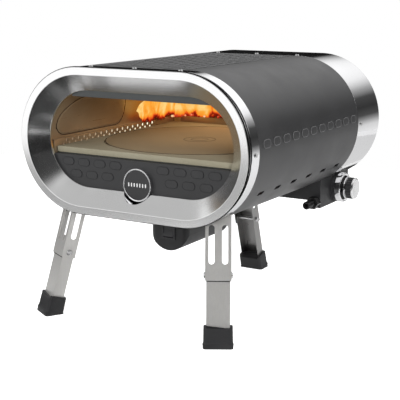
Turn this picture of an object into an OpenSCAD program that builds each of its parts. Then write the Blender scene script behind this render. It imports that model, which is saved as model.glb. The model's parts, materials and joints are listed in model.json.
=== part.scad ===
// Revolving gas pizza oven: a stadium-section casing on three folding legs,
// with a revolving stone driven from a motor housing below.
// The front of the oven faces -Y. Heights inside the casing are measured from
// its axis, and depths from its front face; placed() moves both to the row frame.

/* [Casing] */
// Half of the flat width of the stadium section
half_flat = 96; // [90:1:100]
// Outer radius of the rounded sides
body_r = 120; // [118:1:122]
// Depth of the casing from the front face to the rear edge
body_len = 525; // [522:1:540]
// Height of the casing's axis above the floor
axis_h = 300; // [298:1:304]
// Thickness of the casing sheet
sheet = 1.5; // [1.2:0.1:1.8]
// Depth at which the painted shell starts
shell_front = 36; // [35:1:38]
// Depth at which the painted shell ends and the rear cap starts
shell_rear = 422; // [420:1:424]

/* [Mouth] */
// Radius of the rounded ends of the mouth
mouth_r = 80; // [78:1:82]
// Depth of the funnel from the front face to the mouth
mouth_depth = 27; // [26:1:28]
// Radius of the round badge below the mouth
badge_r = 27; // [25:0.5:28]
// Distance of the badge's centre below the axis
badge_drop = 67; // [66:1:68]

/* [Chamber] */
// Radius of the rounded sides of the baking chamber
chamber_r = 88; // [87:0.5:89]
// Distance of the stone's top face below the axis
deck_drop = 18; // [17:0.5:20]
// Thickness of the stones
stone_t = 10; // [9:0.5:11]
// Radius of the revolving stone
disc_r = 166; // [160:1:167]
// Depth of the revolving stone's centre
disc_y = 222; // [220:1:224]

/* [Legs] */
// Height of the folding joint above the floor
pivot_h = 105; // [104:1:108]
// Width of the fixed upper leg channel
bracket_w = 41; // [40:0.5:42]
// Width of the folding lower leg channel
lower_w = 37.2; // [37:0.1:37.4]
// Lean of the front legs from the vertical, in degrees
front_tilt = 16; // [15:0.5:17]
// Turn of the front legs away from straight ahead, in degrees
front_yaw = 30; // [28:1:32]
// Lean of the rear leg from the vertical, in degrees
rear_tilt = 17; // [16:0.5:18]

/* [Controls] */
// Depth of the gas knob's axis
knob_y = 462; // [458:1:464]
// Distance of the gas knob's axis below the casing's axis
knob_drop = 126.5; // [126:0.5:128]
// Radius of the gas knob
knob_r = 20.3; // [19:0.1:20.6]

/* [Hidden] */
$fn = 96;

eps = 0.01;
// The front feet reach this far ahead of the front face
foot_reach = 23.92;
// Depth of the front face in the row frame, with the origin under the middle
front_y = -(body_len - foot_reach) / 2;
// Running gap round a turning shaft
run_gap = 0.05;
// Gap between fitted pieces that stay still
fit_gap = 0.05;

// Casing details
ring_face = 12.5;            // width of the bezel's flat ring
ring_edge = 1.9;             // depth of the rim round the ring
return_step = 3;             // the bezel's return sits this far inside the rim
flange_front = 5.6;          // flange folded out of the return, between two seals
flange_rear = 8.4;
flange_step = 0.3;           // the flange sits this far inside the rim
seal_end = 12;               // the collar starts behind the rear seal
seal_step = 0.9;             // the seals sit this far inside the rim
seal_depth = 8;              // width of the rear seal's face against the collar
collar_lap = 12;             // the collar reaches this far under the shell
cap_lap = 12;                // the rear cap reaches this far under the shell
panel_inset = 5;             // the back panel sits inside the rear edge
back_screw_x = [-150, 0, 150];
back_screw_z = 70;
screw_hole_r = 2.15;         // clearance hole of the casing's screws
screw_inset = 13;            // collar screws, ahead of the shell's edge
cap_screw_inset = 12;        // cap screws, behind the shell's edge
top_screw_x = 85;            // outer screws on the flat top and bottom

// Embossed dashes, shared by the shell and the front panel
dash_len = 23;
dash_w = 12.5;
dash_h = 0.8;
top_pitch_y = 30;
top_pitch_x = 20;
side_pitch = 33.7;
side_first = 61;
side_count = 11;
side_z = 13;

// Vent slots in the sides of the shell
vent_len = 20;
vent_w = 8;
vent_angle = 36;
vent_first = 85;
vent_pitch = 59;
vent_count = 6;

// Chamber and deck
lip_end = mouth_depth + 4;    // rear edge of the rolled lip round the mouth
chamber_front = lip_end + 0.2;
chamber_rear = 470;
chamber_t = 1.2;
under_z = -40;               // lower edge of the chamber's side walls
panel_top = -29;             // upper edge of the front panel
slab_half = 172;
slab_front = 40;
slab_rear = 416;
slab_round = 8;
disc_gap = 1.2;
disc_proud = 0.5;             // the disc stands above the deck
boss_r = 12;                  // the turntable's boss under the disc
spoke_hole_r = 20;
shaft_r = 4;                  // drive shaft and valve spindle
shaft_low = -137;
deck_z = -deck_drop;
slab_z = deck_z - stone_t;
pan_z = slab_z - 6;
pan_half = slab_half + 3.2;
pan_rear = slab_rear + 7;
guard_t = 1.2;
guard_x = -pan_half + 0.6;
guard_y = pan_rear - 1;
guard_front = 33.6;
guard_round = 12;             // radius of the guard's corner
guard_top = -7.5;
guard_flange = 3.6;           // width of the rim folded out along the side
guard_hole_r = 2.8;
guard_pitch = 16.6;

// Motor housing
motor_screw_pitch = 54;
bracket_half = 33;            // half width of the motor bracket
house_half = 38;
house_front = 119;
house_rear = 256;
cover_rear = 270;
cover_round = 110;
cover_screw_x = 31.5;
cover_screw_z = -130;
house_mid_z = -158;
house_wall = 2.5;
house_round = 12;
switch_z = -162.5;
switch_half = 13.5;
rocker_y = house_front + 2;
rocker_pin_r = 1.5;

// Control box
box_left = 45;
box_right = 160;
box_front = 387;
box_rear = 516;
box_low = -155;              // underside of the inlet boss
box_under = -142;            // underside of the box
knob_z = -knob_drop;
bezel_r = 28;
bezel_hole = 23;
knob_back = 184.4;            // the knob's grip starts ahead of its skirt
bezel_back = 167;             // the box's round boss ends and the bezel starts
bezel_front = 178;
control_screw_x = box_left + 20;
control_screw_y = [box_front + 8, box_rear - 8];
boss_left = 138;              // inlet boss, at the box's outer end
pipe_x = 105;
burner_y = 436;
burner_z = -22;
burner_r = 9;
inlet_x = 150;
inlet_z = -144;
inlet_front = 347;
inlet_face = 371;            // front of the nut
spigot_r = 7.3;
shank_r = 6.5;
valve_top = knob_z + 5;
spindle_end = 190;
pipe_r = 4;

// Legs: x and y of the folding joint, turn and lean
left_leg = [-151, 26, -front_yaw, front_tilt];
right_leg = [151, 26, front_yaw, front_tilt];
rear_leg = [0, 402, 180, rear_tilt];
pivot_z = pivot_h - axis_h;
leg_sheet = 1.5;
bracket_front = 12;          // web of the upper channel, ahead of the joint
bracket_depth = 24;
lower_front = 9.9;           // web of the lower channel, ahead of the joint
lower_depth = 20;
pin_r = 3;
foot_h = 32;
foot_w_top = 43;
foot_w_low = 47;
foot_d_top = 27;
foot_d_low = 31;

// ---------- helpers ----------

// From casing coordinates (front face, axis) to the row frame
module placed() translate([0, front_y, axis_h]) children();

// A stadium-section bar along Y, from y0 to y1
module bar(r, y0, y1, half = half_flat) {
    translate([0, y0, 0]) rotate([-90, 0, 0]) {
        translate([-half, 0, 0]) cylinder(r = r, h = y1 - y0);
        translate([half, 0, 0]) cylinder(r = r, h = y1 - y0);
        translate([-half, -r, 0]) cube([2 * half, 2 * r, y1 - y0]);
    }
}

// A stadium-section funnel from radius r0 at y0 to r1 at y1
module funnel(r0, r1, y0, y1, half = half_flat) {
    translate([0, y0, 0]) rotate([-90, 0, 0]) {
        for (side = [-1, 1])
            translate([side * half, 0, 0]) cylinder(r1 = r0, r2 = r1, h = y1 - y0);
    }
    translate([-half, 0, 0]) rotate([90, 0, 90])
        linear_extrude(2 * half)
            polygon([[y0, -r0], [y1, -r1], [y1, r1], [y0, r0]]);
}

// A stadium-section tube
module tube(r, t, y0, y1) {
    difference() {
        bar(r, y0, y1);
        bar(r - t, y0 - 1, y1 + 1);
    }
}

// A dash outline: a slot of the given length and width along X
module dash(len = dash_len, w = dash_w) {
    for (side = [-1, 1]) translate([side * (len - w) / 2, 0]) circle(d = w);
    square([len - w, w], center = true);
}

// A cylinder along +X from x0 to x1
module rod_x(r, x0, x1) translate([x0, 0, 0]) rotate([0, 90, 0]) cylinder(r = r, h = x1 - x0);

// A cylinder along +Y from y0 to y1
module rod_y(r, y0, y1) translate([0, y0, 0]) rotate([-90, 0, 0]) cylinder(r = r, h = y1 - y0);

// A pan-head screw: head on the plane z = 0 pointing up, shank below
module screw(head_r = 4, head_h = 2, shank_r = 2, shank = 6) {
    cylinder(r1 = head_r, r2 = head_r * 0.72, h = head_h);
    translate([0, 0, -shank]) cylinder(r = shank_r, h = shank + eps);
}

// The eight screw places round a band: three above, three below, one each side
module band_places(y, r) {
    for (x = [-top_screw_x, 0, top_screw_x]) {
        translate([x, y, r]) children();
        translate([x, y, -r]) rotate([180, 0, 0]) children();
    }
    for (side = [-1, 1])
        translate([side * (half_flat + r), y, 0]) rotate([0, side * 90, 0]) children();
}

// ---------- casing ----------

module badge_at() translate([0, 0, -badge_drop]) children();

module front_bezel() color([0.80, 0.80, 0.80]) placed() {
    inner_r = body_r - ring_face;
    wall = 1.2;
    sleeve_r = badge_r + 2.2;
    difference() {
        union() {
            difference() {
                bar(body_r, 0, ring_edge);
                bar(inner_r - 1, -1, ring_edge + 1);
            }
            difference() {
                union() {
                    bar(body_r - return_step, ring_edge - eps, flange_rear);
                    bar(body_r - flange_step, flange_front, flange_rear);
                }
                bar(body_r - return_step - sheet, 0, flange_rear + 1);
            }
            difference() {
                funnel(inner_r + wall, mouth_r + wall, 0, mouth_depth);
                funnel(inner_r, mouth_r, 0, mouth_depth);
                badge_at() rod_y(sleeve_r - eps, -1, mouth_depth + 1);
            }
            // rolled lip round the mouth
            difference() {
                bar(mouth_r + wall, mouth_depth - eps, lip_end);
                bar(mouth_r, mouth_depth - 1, lip_end + 1);
                badge_at() rod_y(sleeve_r - eps, 0, lip_end + 1);
            }
            // sleeve of the badge notch, cut off by the funnel's slope
            intersection() {
                badge_at() difference() {
                    rod_y(sleeve_r + wall, 1, lip_end);
                    rod_y(sleeve_r, 0, lip_end + 1);
                }
                difference() {
                    bar(inner_r + wall, 0, lip_end);
                    funnel(inner_r, mouth_r, 0, mouth_depth);
                    bar(mouth_r, mouth_depth - 1, lip_end + 1);
                }
            }
        }
    }
}

// Two seals, one each side of the bezel's flange
module bezel_seal() color([0.05, 0.05, 0.05]) placed() {
    outer_r = body_r - seal_step;
    difference() {
        bar(outer_r, ring_edge, flange_front);
        bar(body_r - return_step + fit_gap, 0, flange_front + 1);
    }
    difference() {
        bar(outer_r, flange_rear, seal_end);
        bar(outer_r - seal_depth, 0, seal_end + 1);
    }
}

module front_collar() color([0.86, 0.86, 0.87]) placed() difference() {
    union() {
        tube(body_r, 2 * sheet, seal_end, shell_front);
        tube(body_r - sheet - fit_gap, sheet, seal_end, shell_front + collar_lap);
    }
    band_places(shell_front - screw_inset, body_r)
        translate([0, 0, -8]) cylinder(r = screw_hole_r, h = 12);
}

module top_dashes() {
    for (row = [-4 : 4], k = [0 : 11]) {
        y = 62 + top_pitch_y * (k + (abs(row) % 2) / 2);
        if (y < shell_rear - 20)
            translate([row * top_pitch_x, y]) rotate(90) dash();
    }
}

// The row of dashes along each side
module side_dashes() intersection() {
    tube(body_r + dash_h, dash_h + eps, shell_front, shell_rear);
    for (side = [-1, 1], k = [0 : side_count - 1])
        translate([side * (half_flat + body_r - 8), side_first + k * side_pitch, side_z])
            rotate([0, side * 90, 0]) linear_extrude(12) rotate(90) dash();
}

module outer_shell() color([0.30, 0.30, 0.31]) placed() {
    difference() {
        tube(body_r, sheet, shell_front, shell_rear);
        // vents
        for (side = [-1, 1], k = [0 : vent_count - 1])
            translate([side * half_flat, vent_first + k * vent_pitch, 0])
                rotate([0, side * (90 + vent_angle), 0])
                    translate([0, 0, body_r - 6]) linear_extrude(12)
                        rotate(90) dash(vent_len, vent_w);
        // the drive shaft passes through the floor
        translate([0, disc_y, -body_r - 2]) cylinder(r = 8, h = 6);
        motor_screw_places() translate([0, 0, -8]) cylinder(r = screw_hole_r, h = 12);
        all_leg_screw_places() translate([0, 0, -8]) cylinder(r = screw_hole_r, h = 12);
    }
    translate([0, 0, body_r - eps]) linear_extrude(dash_h + eps) top_dashes();
    side_dashes();
}

module rear_cap() color([0.84, 0.84, 0.85]) placed() difference() {
    union() {
        tube(body_r, sheet, shell_rear, body_len);
        tube(body_r, 2 * sheet, shell_rear, shell_rear + 30);
        tube(body_r - sheet - fit_gap, sheet, shell_rear - cap_lap, shell_rear + 30);
    }
    band_places(shell_rear + cap_screw_inset, body_r)
        translate([0, 0, -8]) cylinder(r = screw_hole_r, h = 12);
    translate([pipe_x, knob_y, -body_r - 10]) cylinder(r = 7, h = 30);
}

module back_screw_places()
    for (x = back_screw_x, level = [-1, 1])
        translate([x, body_len - panel_inset, level * back_screw_z]) children();

module back_panel() color([0.16, 0.16, 0.17]) placed() difference() {
    union() {
        bar(body_r - sheet - fit_gap, body_len - panel_inset - 1.5, body_len - panel_inset);
        tube(body_r - sheet - fit_gap, 1.2, body_len - panel_inset - 14, body_len - panel_inset);
    }
    for (k = [-4 : 4], level = [-1, 1])
        translate([k * 26, body_len, level * 34]) rotate([90, 0, 0])
            linear_extrude(30) rotate(90) dash(42, 6);
    back_screw_places() rod_y(screw_hole_r, -4, 4);
}

module insulation() color([0.88, 0.86, 0.80]) placed() difference() {
    bar(body_r - 14, shell_front + 14, chamber_rear);
    bar(chamber_r + 0.5, 0, chamber_rear + 1);
    translate([-250, 0, -200]) cube([500, 600, 200 + under_z]);
}

// ---------- mouth ----------

module mouth_baffle() color([0.42, 0.45, 0.48]) placed() {
    y0 = lip_end + 1;
    intersection() {
        bar(chamber_r - chamber_t - fit_gap, y0, y0 + 1.5);
        translate([-half_flat - 36, y0 - 1, mouth_r - 11]) cube([2 * half_flat + 72, 10, 40]);
    }
}

module front_panel() color([0.26, 0.27, 0.29]) placed() {
    y0 = lip_end + 0.5;
    t = 1.5;
    difference() {
        bar(chamber_r - chamber_t - fit_gap, y0, y0 + t);
        translate([-250, y0 - 1, panel_top]) cube([500, 10, 200]);
    }
    // shelf that meets the deck stone
    translate([-slab_half, y0 + t - eps, panel_top - 1.5]) cube([2 * slab_half, 6, 1.5]);
    translate([0, y0 + eps, 0]) rotate([90, 0, 0]) linear_extrude(dash_h) {
        for (side = [-1, 1]) {
            for (k = [0 : 3]) translate([side * (46 + 32 * k), -40]) dash();
            for (k = [0 : 2]) translate([side * (62 + 32 * k), -60]) dash();
        }
    }
}

module badge_ring() color([0.85, 0.85, 0.85]) placed() badge_at() difference() {
    rod_y(badge_r, mouth_depth - 2, lip_end + 0.5);
    rod_y(badge_r - 2.5, mouth_depth - 3, mouth_depth + 2);
    rod_y(badge_r - 6, mouth_depth, mouth_depth + 5);
}

module badge_face() color([0.07, 0.07, 0.08]) placed() badge_at() {
    y0 = mouth_depth - 0.8;
    rod_y(badge_r - 2.55, y0, mouth_depth + 2);
    // generic mark: a row of raised dashes
    translate([0, y0 + eps, 0]) rotate([90, 0, 0]) linear_extrude(0.6)
        for (k = [-3 : 3]) translate([k * 5.4, 0]) rotate(90) dash(8, 2.2);
}

// ---------- chamber ----------

module inner_chamber() color([0.62, 0.50, 0.36]) placed() difference() {
    bar(chamber_r, chamber_front, chamber_rear);
    bar(chamber_r - chamber_t, 0, chamber_rear + 1);
    translate([-250, 0, -200]) cube([500, 600, 200 + under_z]);
}

module chamber_back() color([0.50, 0.40, 0.30]) placed() intersection() {
    bar(chamber_r - chamber_t - fit_gap, chamber_rear - 2, chamber_rear - 0.8);
    translate([-250, 0, under_z]) cube([500, 600, 200]);
}

// ---------- deck and drive ----------

// Outline of the deck stone, with rounded rear corners
module slab_outline() {
    flat_half = slab_half - slab_round;
    flat_rear = slab_rear - slab_round;
    translate([-slab_half, slab_front]) square([2 * slab_half, flat_rear - slab_front]);
    translate([-flat_half, slab_front]) square([2 * flat_half, slab_rear - slab_front]);
    for (side = [-1, 1]) translate([side * flat_half, flat_rear]) circle(r = slab_round);
}

module deck_stone() color([0.80, 0.74, 0.60]) placed() difference() {
    translate([0, 0, slab_z]) linear_extrude(stone_t) slab_outline();
    translate([0, disc_y, slab_z - 1]) cylinder(r = disc_r + disc_gap, h = stone_t + 2);
}

module stone_disc() color([0.66, 0.54, 0.40]) placed() translate([0, disc_y, 0])
    difference() {
        translate([0, 0, slab_z]) cylinder(r = disc_r, h = stone_t + disc_proud);
        translate([0, 0, slab_z - 1]) cylinder(r = boss_r + 0.2, h = 4);
    }

module turntable_plate() color([0.60, 0.60, 0.62]) placed() translate([0, disc_y, 0])
    difference() {
        union() {
            translate([0, 0, slab_z - 2]) cylinder(r = 110, h = 2);
            translate([0, 0, slab_z - 2]) cylinder(r = boss_r, h = 4.5);
        }
        translate([0, 0, slab_z - 3]) cylinder(r = shaft_r + 0.02, h = 4);
        for (a = [0 : 60 : 300]) rotate(a) translate([62, 0, slab_z - 3])
            cylinder(r = spoke_hole_r, h = 4);
    }

module drive_shaft() color([0.70, 0.70, 0.72]) placed() translate([0, disc_y, 0])
    translate([0, 0, shaft_low]) cylinder(r = shaft_r, h = slab_z + 1 - shaft_low);

module shaft_bush() color([0.76, 0.58, 0.30]) placed() translate([0, disc_y, 0])
    difference() {
        union() {
            translate([0, 0, slab_z - 12]) cylinder(r = 7.5, h = 9);
            translate([0, 0, slab_z - 4.5]) cylinder(r = 12, h = 1.5);
        }
        translate([0, 0, slab_z - 20]) cylinder(r = shaft_r + run_gap, h = 20);
    }

module deck_pan() color([0.45, 0.44, 0.43]) placed() {
    difference() {
        union() {
            translate([-pan_half, slab_front, pan_z])
                cube([2 * pan_half, pan_rear - slab_front, 1.5]);
            // side rails that carry the stone
            for (side = [-1, 1]) translate([side * (slab_half - 2) - 1, slab_front, pan_z])
                cube([2, slab_rear - slab_round - slab_front, slab_z - pan_z]);
            translate([-slab_half + slab_round, slab_rear - 2, pan_z])
                cube([2 * (slab_half - slab_round), 2, slab_z - pan_z]);
            translate([-slab_half, slab_front, pan_z])
                cube([2 * slab_half, 2, slab_z - pan_z]);
        }
        translate([0, disc_y, pan_z - 1]) cylinder(r = 7.6, h = 4);
    }
}

module gear_motor() color([0.55, 0.56, 0.58]) placed() translate([0, disc_y, 0])
    difference() {
        union() {
            translate([0, 0, -186]) cylinder(r = 19, h = 40);
            translate([0, 0, -150]) cylinder(r = 30, h = 28.5);
        }
        translate([0, 0, shaft_low - 1]) cylinder(r = shaft_r + run_gap, h = 20);
    }

// The motor bracket's four screws, heads down
module motor_screw_places()
    for (sx = [-1, 1], sy = [-1, 1])
        translate([sx, sy, 0] * motor_screw_pitch / 2 + [0, disc_y, -body_r - sheet])
            rotate([180, 0, 0]) children();

module motor_bracket() color([0.65, 0.65, 0.66]) placed() difference() {
    translate([-bracket_half, disc_y - bracket_half, -body_r - sheet])
        cube([2 * bracket_half, 2 * bracket_half, sheet]);
    translate([0, disc_y, -body_r - 3]) cylinder(r = 8, h = 6);
    motor_screw_places() translate([0, 0, -8]) cylinder(r = screw_hole_r, h = 12);
}

module battery_cells() color([0.10, 0.22, 0.30]) placed()
    for (side = [-1, 1]) translate([side * 17, 0, house_mid_z]) {
        rod_y(16.5, 128, 186);
        rod_y(4.5, 185, 188);
    }

// U-section solid of the motor housing between two depths
module house_solid(half, top_z, y0, y1) {
    translate([-half, y0, house_mid_z]) cube([2 * half, y1 - y0, top_z - house_mid_z]);
    translate([0, 0, house_mid_z]) rod_y(half, y0, y1);
}

// Upright block with rounded front corners
module round_front(half, y0, y1, r, z0, z1) {
    translate([0, 0, z0]) linear_extrude(z1 - z0) {
        for (side = [-1, 1]) translate([side * (half - r), y0 + r]) circle(r = r);
        translate([-half + r, y0]) square([2 * (half - r), y1 - y0]);
        translate([-half, y0 + r]) square([2 * half, y1 - y0 - r]);
    }
}

module cover_screw_places()
    for (side = [-1, 1]) translate([side * cover_screw_x, 0, cover_screw_z]) children();

module house_outside(rear) intersection() {
    house_solid(house_half, -body_r, house_front, rear);
    round_front(house_half, house_front, rear, house_round, -250, 0);
}

module motor_housing() color([0.13, 0.13, 0.14]) placed() difference() {
    union() {
        difference() {
            house_outside(house_rear);
            intersection() {
                house_solid(house_half - house_wall, -body_r + 1, house_front + house_wall, 300);
                round_front(house_half - house_wall, house_front + house_wall, 300,
                            house_round - house_wall, -250, 0);
            }
        }
        // bosses for the cover's screws
        intersection() {
            cover_screw_places() rod_y(5, house_rear - 12, house_rear);
            house_outside(house_rear);
        }
    }
    translate([-11, house_front - 1, switch_z - 11]) cube([22, house_wall + 2, 22]);
    cover_screw_places() rod_y(1.65, house_rear - 11, house_rear + 1);
}

module housing_cover() color([0.13, 0.13, 0.14]) placed() difference() {
    intersection() {
        house_solid(house_half, -body_r, house_rear, cover_rear);
        translate([0, cover_rear - cover_round, -250]) cylinder(r = cover_round, h = 250);
    }
    cover_screw_places() {
        rod_y(screw_hole_r, house_rear - 1, cover_rear);
        rod_y(3.6, cover_rear - 6, cover_rear + 1);
    }
}

module switch_frame() color([0.08, 0.08, 0.09]) placed() difference() {
    translate([0, 0, switch_z]) {
        translate([-switch_half, house_front - 2, -switch_half])
            cube([2 * switch_half, 2, 2 * switch_half]);
        translate([-10.9, house_front - eps, -10.9]) cube([21.8, house_wall + 4, 21.8]);
    }
    translate([-10, 100, switch_z - 10.6]) cube([20, 40, 21.2]);
    translate([0, rocker_y, switch_z]) rod_x(rocker_pin_r + run_gap, -11, 11);
}

module power_switch() color([0.05, 0.05, 0.05]) placed()
    translate([0, rocker_y, switch_z]) {
        rotate([-7, 0, 0]) translate([-9.7, 0, 0]) rotate([90, 0, 90]) linear_extrude(19.4)
            polygon([[-4, -9.4], [-3, 0], [-4, 9.4], [2.5, 9.2], [4.5, 3], [4.5, -3], [2.5, -9.2]]);
        rod_x(rocker_pin_r, -10.7, 10.7);
    }

// ---------- gas ----------

module burner_tube() color([0.30, 0.26, 0.23]) placed() {
    difference() {
        translate([0, burner_y, burner_z]) rod_x(burner_r, -128, 128);
        for (k = [-11 : 11]) translate([k * 11, burner_y, burner_z]) cylinder(r = 1.5, h = 12);
    }
}

// Perforated guard: up the left side, round the corner, and across the back
module flame_guard() color([0.50, 0.40, 0.30]) placed() {
    low = pan_z + 1.5;
    high = guard_top - low;
    cx = guard_x + guard_round;
    cy = guard_y - guard_round;
    difference() {
        translate([guard_x, guard_front, low]) cube([guard_t, cy - guard_front, high]);
        for (k = [0 : 16], row = [0, 1])
            translate([guard_x - 1, guard_front + 26 + (k + row / 2) * guard_pitch,
                       guard_top - 10.4 + row * 6])
                rod_x(guard_hole_r, 0, 4);
    }
    translate([guard_x - guard_flange, guard_front, guard_top - guard_t])
        cube([guard_flange + eps, cy - guard_front, guard_t]);
    translate([cx, cy, low]) intersection() {
        difference() {
            cylinder(r = guard_round, h = high);
            translate([0, 0, -1]) cylinder(r = guard_round - guard_t, h = high + 2);
        }
        translate([-guard_round, 0, 0]) cube([guard_round, guard_round, high]);
    }
    translate([cx, guard_y - guard_t, low]) cube([150 - cx, guard_t, high]);
}

module gas_pipe() color([0.72, 0.60, 0.35]) placed() translate([pipe_x, 0, 0]) {
    translate([0, knob_y, valve_top]) cylinder(r = pipe_r, h = burner_z - valve_top);
    translate([0, 0, burner_z]) rod_y(pipe_r, burner_y + burner_r + 0.1, knob_y);
    translate([0, knob_y, burner_z]) sphere(r = pipe_r);
}

module gas_valve() color([0.74, 0.64, 0.42]) placed() difference() {
    union() {
        translate([90, knob_y - 14, valve_top - 16]) cube([32, 28, 16]);
        translate([122 - eps, knob_y, knob_z]) rod_x(8, 0, 12);
    }
    translate([110, knob_y, knob_z]) rod_x(shaft_r + run_gap, 0, 40);
    translate([122, knob_y, knob_z]) rod_x(6.5, 0, 30);
}

module spindle_collar() color([0.70, 0.70, 0.70]) placed() translate([0, knob_y, knob_z])
    difference() {
        rod_x(6.4, 128, 133);
        rod_x(shaft_r + run_gap, 127, 134);
    }

module valve_spindle() color([0.76, 0.76, 0.78]) placed() translate([0, knob_y, knob_z]) {
    rod_x(shaft_r, 114, spindle_end);
    rod_x(5.8, 133.1, 134.5);
}

module gas_knob() color([0.08, 0.08, 0.09]) placed() translate([0, knob_y, knob_z])
    difference() {
        union() {
            rod_x(knob_r, knob_back, 196);
            rod_x(knob_r + 0.7, knob_back - 3.2, knob_back - 0.7);
            rod_x(knob_r - 2, knob_back - 1, knob_back + 1);
        }
        rod_x(shaft_r + 0.02, 170, spindle_end + fit_gap);
        for (a = [0 : 15 : 345]) rotate([a, 0, 0]) translate([0, knob_r + 0.5, 0])
            rod_x(1.3, knob_back + 2, 193);
    }

module knob_cap() color([0.80, 0.80, 0.81]) placed() translate([0, knob_y, knob_z]) {
    rod_x(knob_r - 0.5, 196, 198);
    translate([198 - eps, 0, 0]) rotate([0, 90, 0]) cylinder(r1 = knob_r - 0.5, r2 = knob_r - 2, h = 1.5);
}

module knob_bezel() color([0.85, 0.85, 0.86]) placed() translate([0, knob_y, knob_z])
    difference() {
        union() {
            rod_x(bezel_r, bezel_back, bezel_front - 1.5);
            translate([bezel_front - 1.5 - eps, 0, 0]) rotate([0, 90, 0])
                cylinder(r1 = bezel_r, r2 = bezel_r - 1.5, h = 1.5);
        }
        rod_x(bezel_hole, bezel_back - 1, bezel_front + 1);
    }

module control_box() color([0.12, 0.12, 0.13]) placed() difference() {
    union() {
        translate([box_left, box_front, box_under])
            cube([box_right - box_left, box_rear - box_front, 60]);
        translate([boss_left, box_front, box_low])
            cube([box_right - boss_left, box_rear - box_front, 40]);
        translate([0, knob_y, knob_z]) rod_x(bezel_r, box_right - 20, bezel_back);
    }
    // follows the underside of the rear cap
    bar(body_r + fit_gap, 300, 600);
    // hollow inside
    translate([box_left + 2.5, box_front + 14, box_under + 2.5])
        cube([box_right - box_left - 5, box_rear - box_front - 16.5, 60]);
    translate([0, knob_y, knob_z]) rod_x(9.2, 130, bezel_back + 1);
    translate([0, knob_y, knob_z]) rod_x(12, 150, bezel_back + 1);
    translate([inlet_x, 0, inlet_z]) rod_y(shank_r + fit_gap, box_front - 5, box_front + 12);
    for (y = control_screw_y) translate([control_screw_x, y, box_under - 1])
        cylinder(r = 1.55, h = 4);
}

module inlet_nut() color([0.78, 0.66, 0.38]) placed() translate([inlet_x, 0, inlet_z])
    difference() {
        translate([0, inlet_face, 0]) rotate([-90, 0, 0])
            cylinder(r = 12, h = box_front - inlet_face, $fn = 6);
        rod_y(shank_r + fit_gap, 300, 400);
    }

module inlet_spigot() color([0.70, 0.58, 0.32]) placed() translate([inlet_x, 0, inlet_z])
    difference() {
        union() {
            rod_y(spigot_r, inlet_front, inlet_face);
            rod_y(shank_r, inlet_face - eps, box_front + 10);
        }
        rod_y(pipe_r, inlet_front - 1, box_front);
    }

module igniter() color([0.90, 0.88, 0.84]) placed() {
    translate([140, 0, -10]) {
        rod_y(3, 430, chamber_rear - 2);
        rod_y(0.9, 422, 431);
    }
}

// ---------- legs ----------

// Puts a leg part, modelled about its folding joint, in place.
// The leg hangs along -Z, its web faces -Y and the joint's axis is X.
module leg_at(leg) placed() translate([leg[0], leg[1], pivot_z])
    rotate([0, 0, leg[2]]) rotate([-leg[3], 0, 0]) children();

// U-channel with its web towards -Y
module channel(w, front, depth, t, z0, z1) {
    difference() {
        translate([-w / 2, -front, z0]) cube([w, depth, z1 - z0]);
        translate([-w / 2 + t, -front + t, z0 - 1]) cube([w - 2 * t, depth, z1 - z0 + 2]);
    }
}

// Long slot cut through the web or a flange, upright in the XZ plane
module slot_cut(w, z0, z1, y0, y1) {
    translate([-w / 2, y0, z0 + w / 2]) cube([w, y1 - y0, z1 - z0 - w]);
    for (z = [z0 + w / 2, z1 - w / 2]) translate([0, 0, z]) rod_y(w / 2, y0, y1);
}

module leg_bracket(leg) color([0.72, 0.72, 0.71]) {
    difference() {
        leg_at(leg) difference() {
            channel(bracket_w, bracket_front, bracket_depth, leg_sheet, -8.5, 110);
            for (side = [-1, 1]) translate([side * 10.5, 0, 0])
                slot_cut(9.5, 17, 78, -bracket_front - 1, -bracket_front + 4);
            translate([0, 1, 0]) rotate([0, 0, 90]) slot_cut(10, 23, 76, -40, 40);
            rod_x(pin_r + 0.02, -40, 40);
        }
        placed() bar(body_r + fit_gap, -10, 600);
    }
    leg_saddle(leg);
}

// Plan position of a point given beside and behind a leg's folding joint
function leg_point(leg, lx, ly) = [
    leg[0] + lx * cos(leg[2]) - ly * sin(leg[2]),
    leg[1] + lx * sin(leg[2]) + ly * cos(leg[2])
];

// Puts a child on the underside of the casing at a plan point, facing outwards
module under_casing(p, r) {
    over = sign(p[0]) * max(abs(p[0]) - half_flat, 0);
    translate([p[0] - over, p[1], 0]) rotate([0, -asin(over / body_r), 0])
        translate([0, 0, -r]) rotate([180, 0, 0]) children();
}

module leg_screw_places(leg)
    for (side = [-1, 1])
        under_casing(leg_point(leg, side * 10, 35), body_r + 1.6) children();

module all_leg_screw_places()
    for (leg = [left_leg, right_leg, rear_leg]) leg_screw_places(leg) children();

// Curved plate under the casing that carries the channel
module leg_saddle(leg) placed() difference() {
    intersection() {
        difference() {
            bar(body_r + 1.6, 0, body_len);
            bar(body_r + fit_gap, -1, body_len + 1);
        }
        translate([leg[0], leg[1], pivot_z]) rotate([0, 0, leg[2]])
            translate([-bracket_w / 2, 12, 30]) cube([bracket_w, 30, 100]);
    }
    leg_screw_places(leg) translate([0, 0, -8]) cylinder(r = screw_hole_r, h = 12);
}

// Solid of the lower channel, grown by g for the pocket in the foot
module lower_solid(leg, g) {
    w = lower_w + 2 * g;
    z0 = -pivot_h / cos(leg[3]) + 8;
    difference() {
        union() {
            translate([-w / 2, -lower_front - g, z0 - g]) cube([w, lower_depth + 2 * g, -z0 + g]);
            rod_x(9.5, -w / 2, w / 2);
        }
        translate([-w / 2 + leg_sheet + 2 * g, -lower_front + leg_sheet + g, z0 - 1])
            cube([w - 2 * leg_sheet - 4 * g, 60, 60 - z0]);
        translate([-w / 2 + leg_sheet + 2 * g, -20, 0])
            cube([w - 2 * leg_sheet - 4 * g, 40, 60]);
    }
}

module leg_lower(leg) color([0.75, 0.75, 0.74]) leg_at(leg) difference() {
    lower_solid(leg, 0);
    rod_x(pin_r + run_gap, -40, 40);
}

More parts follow.
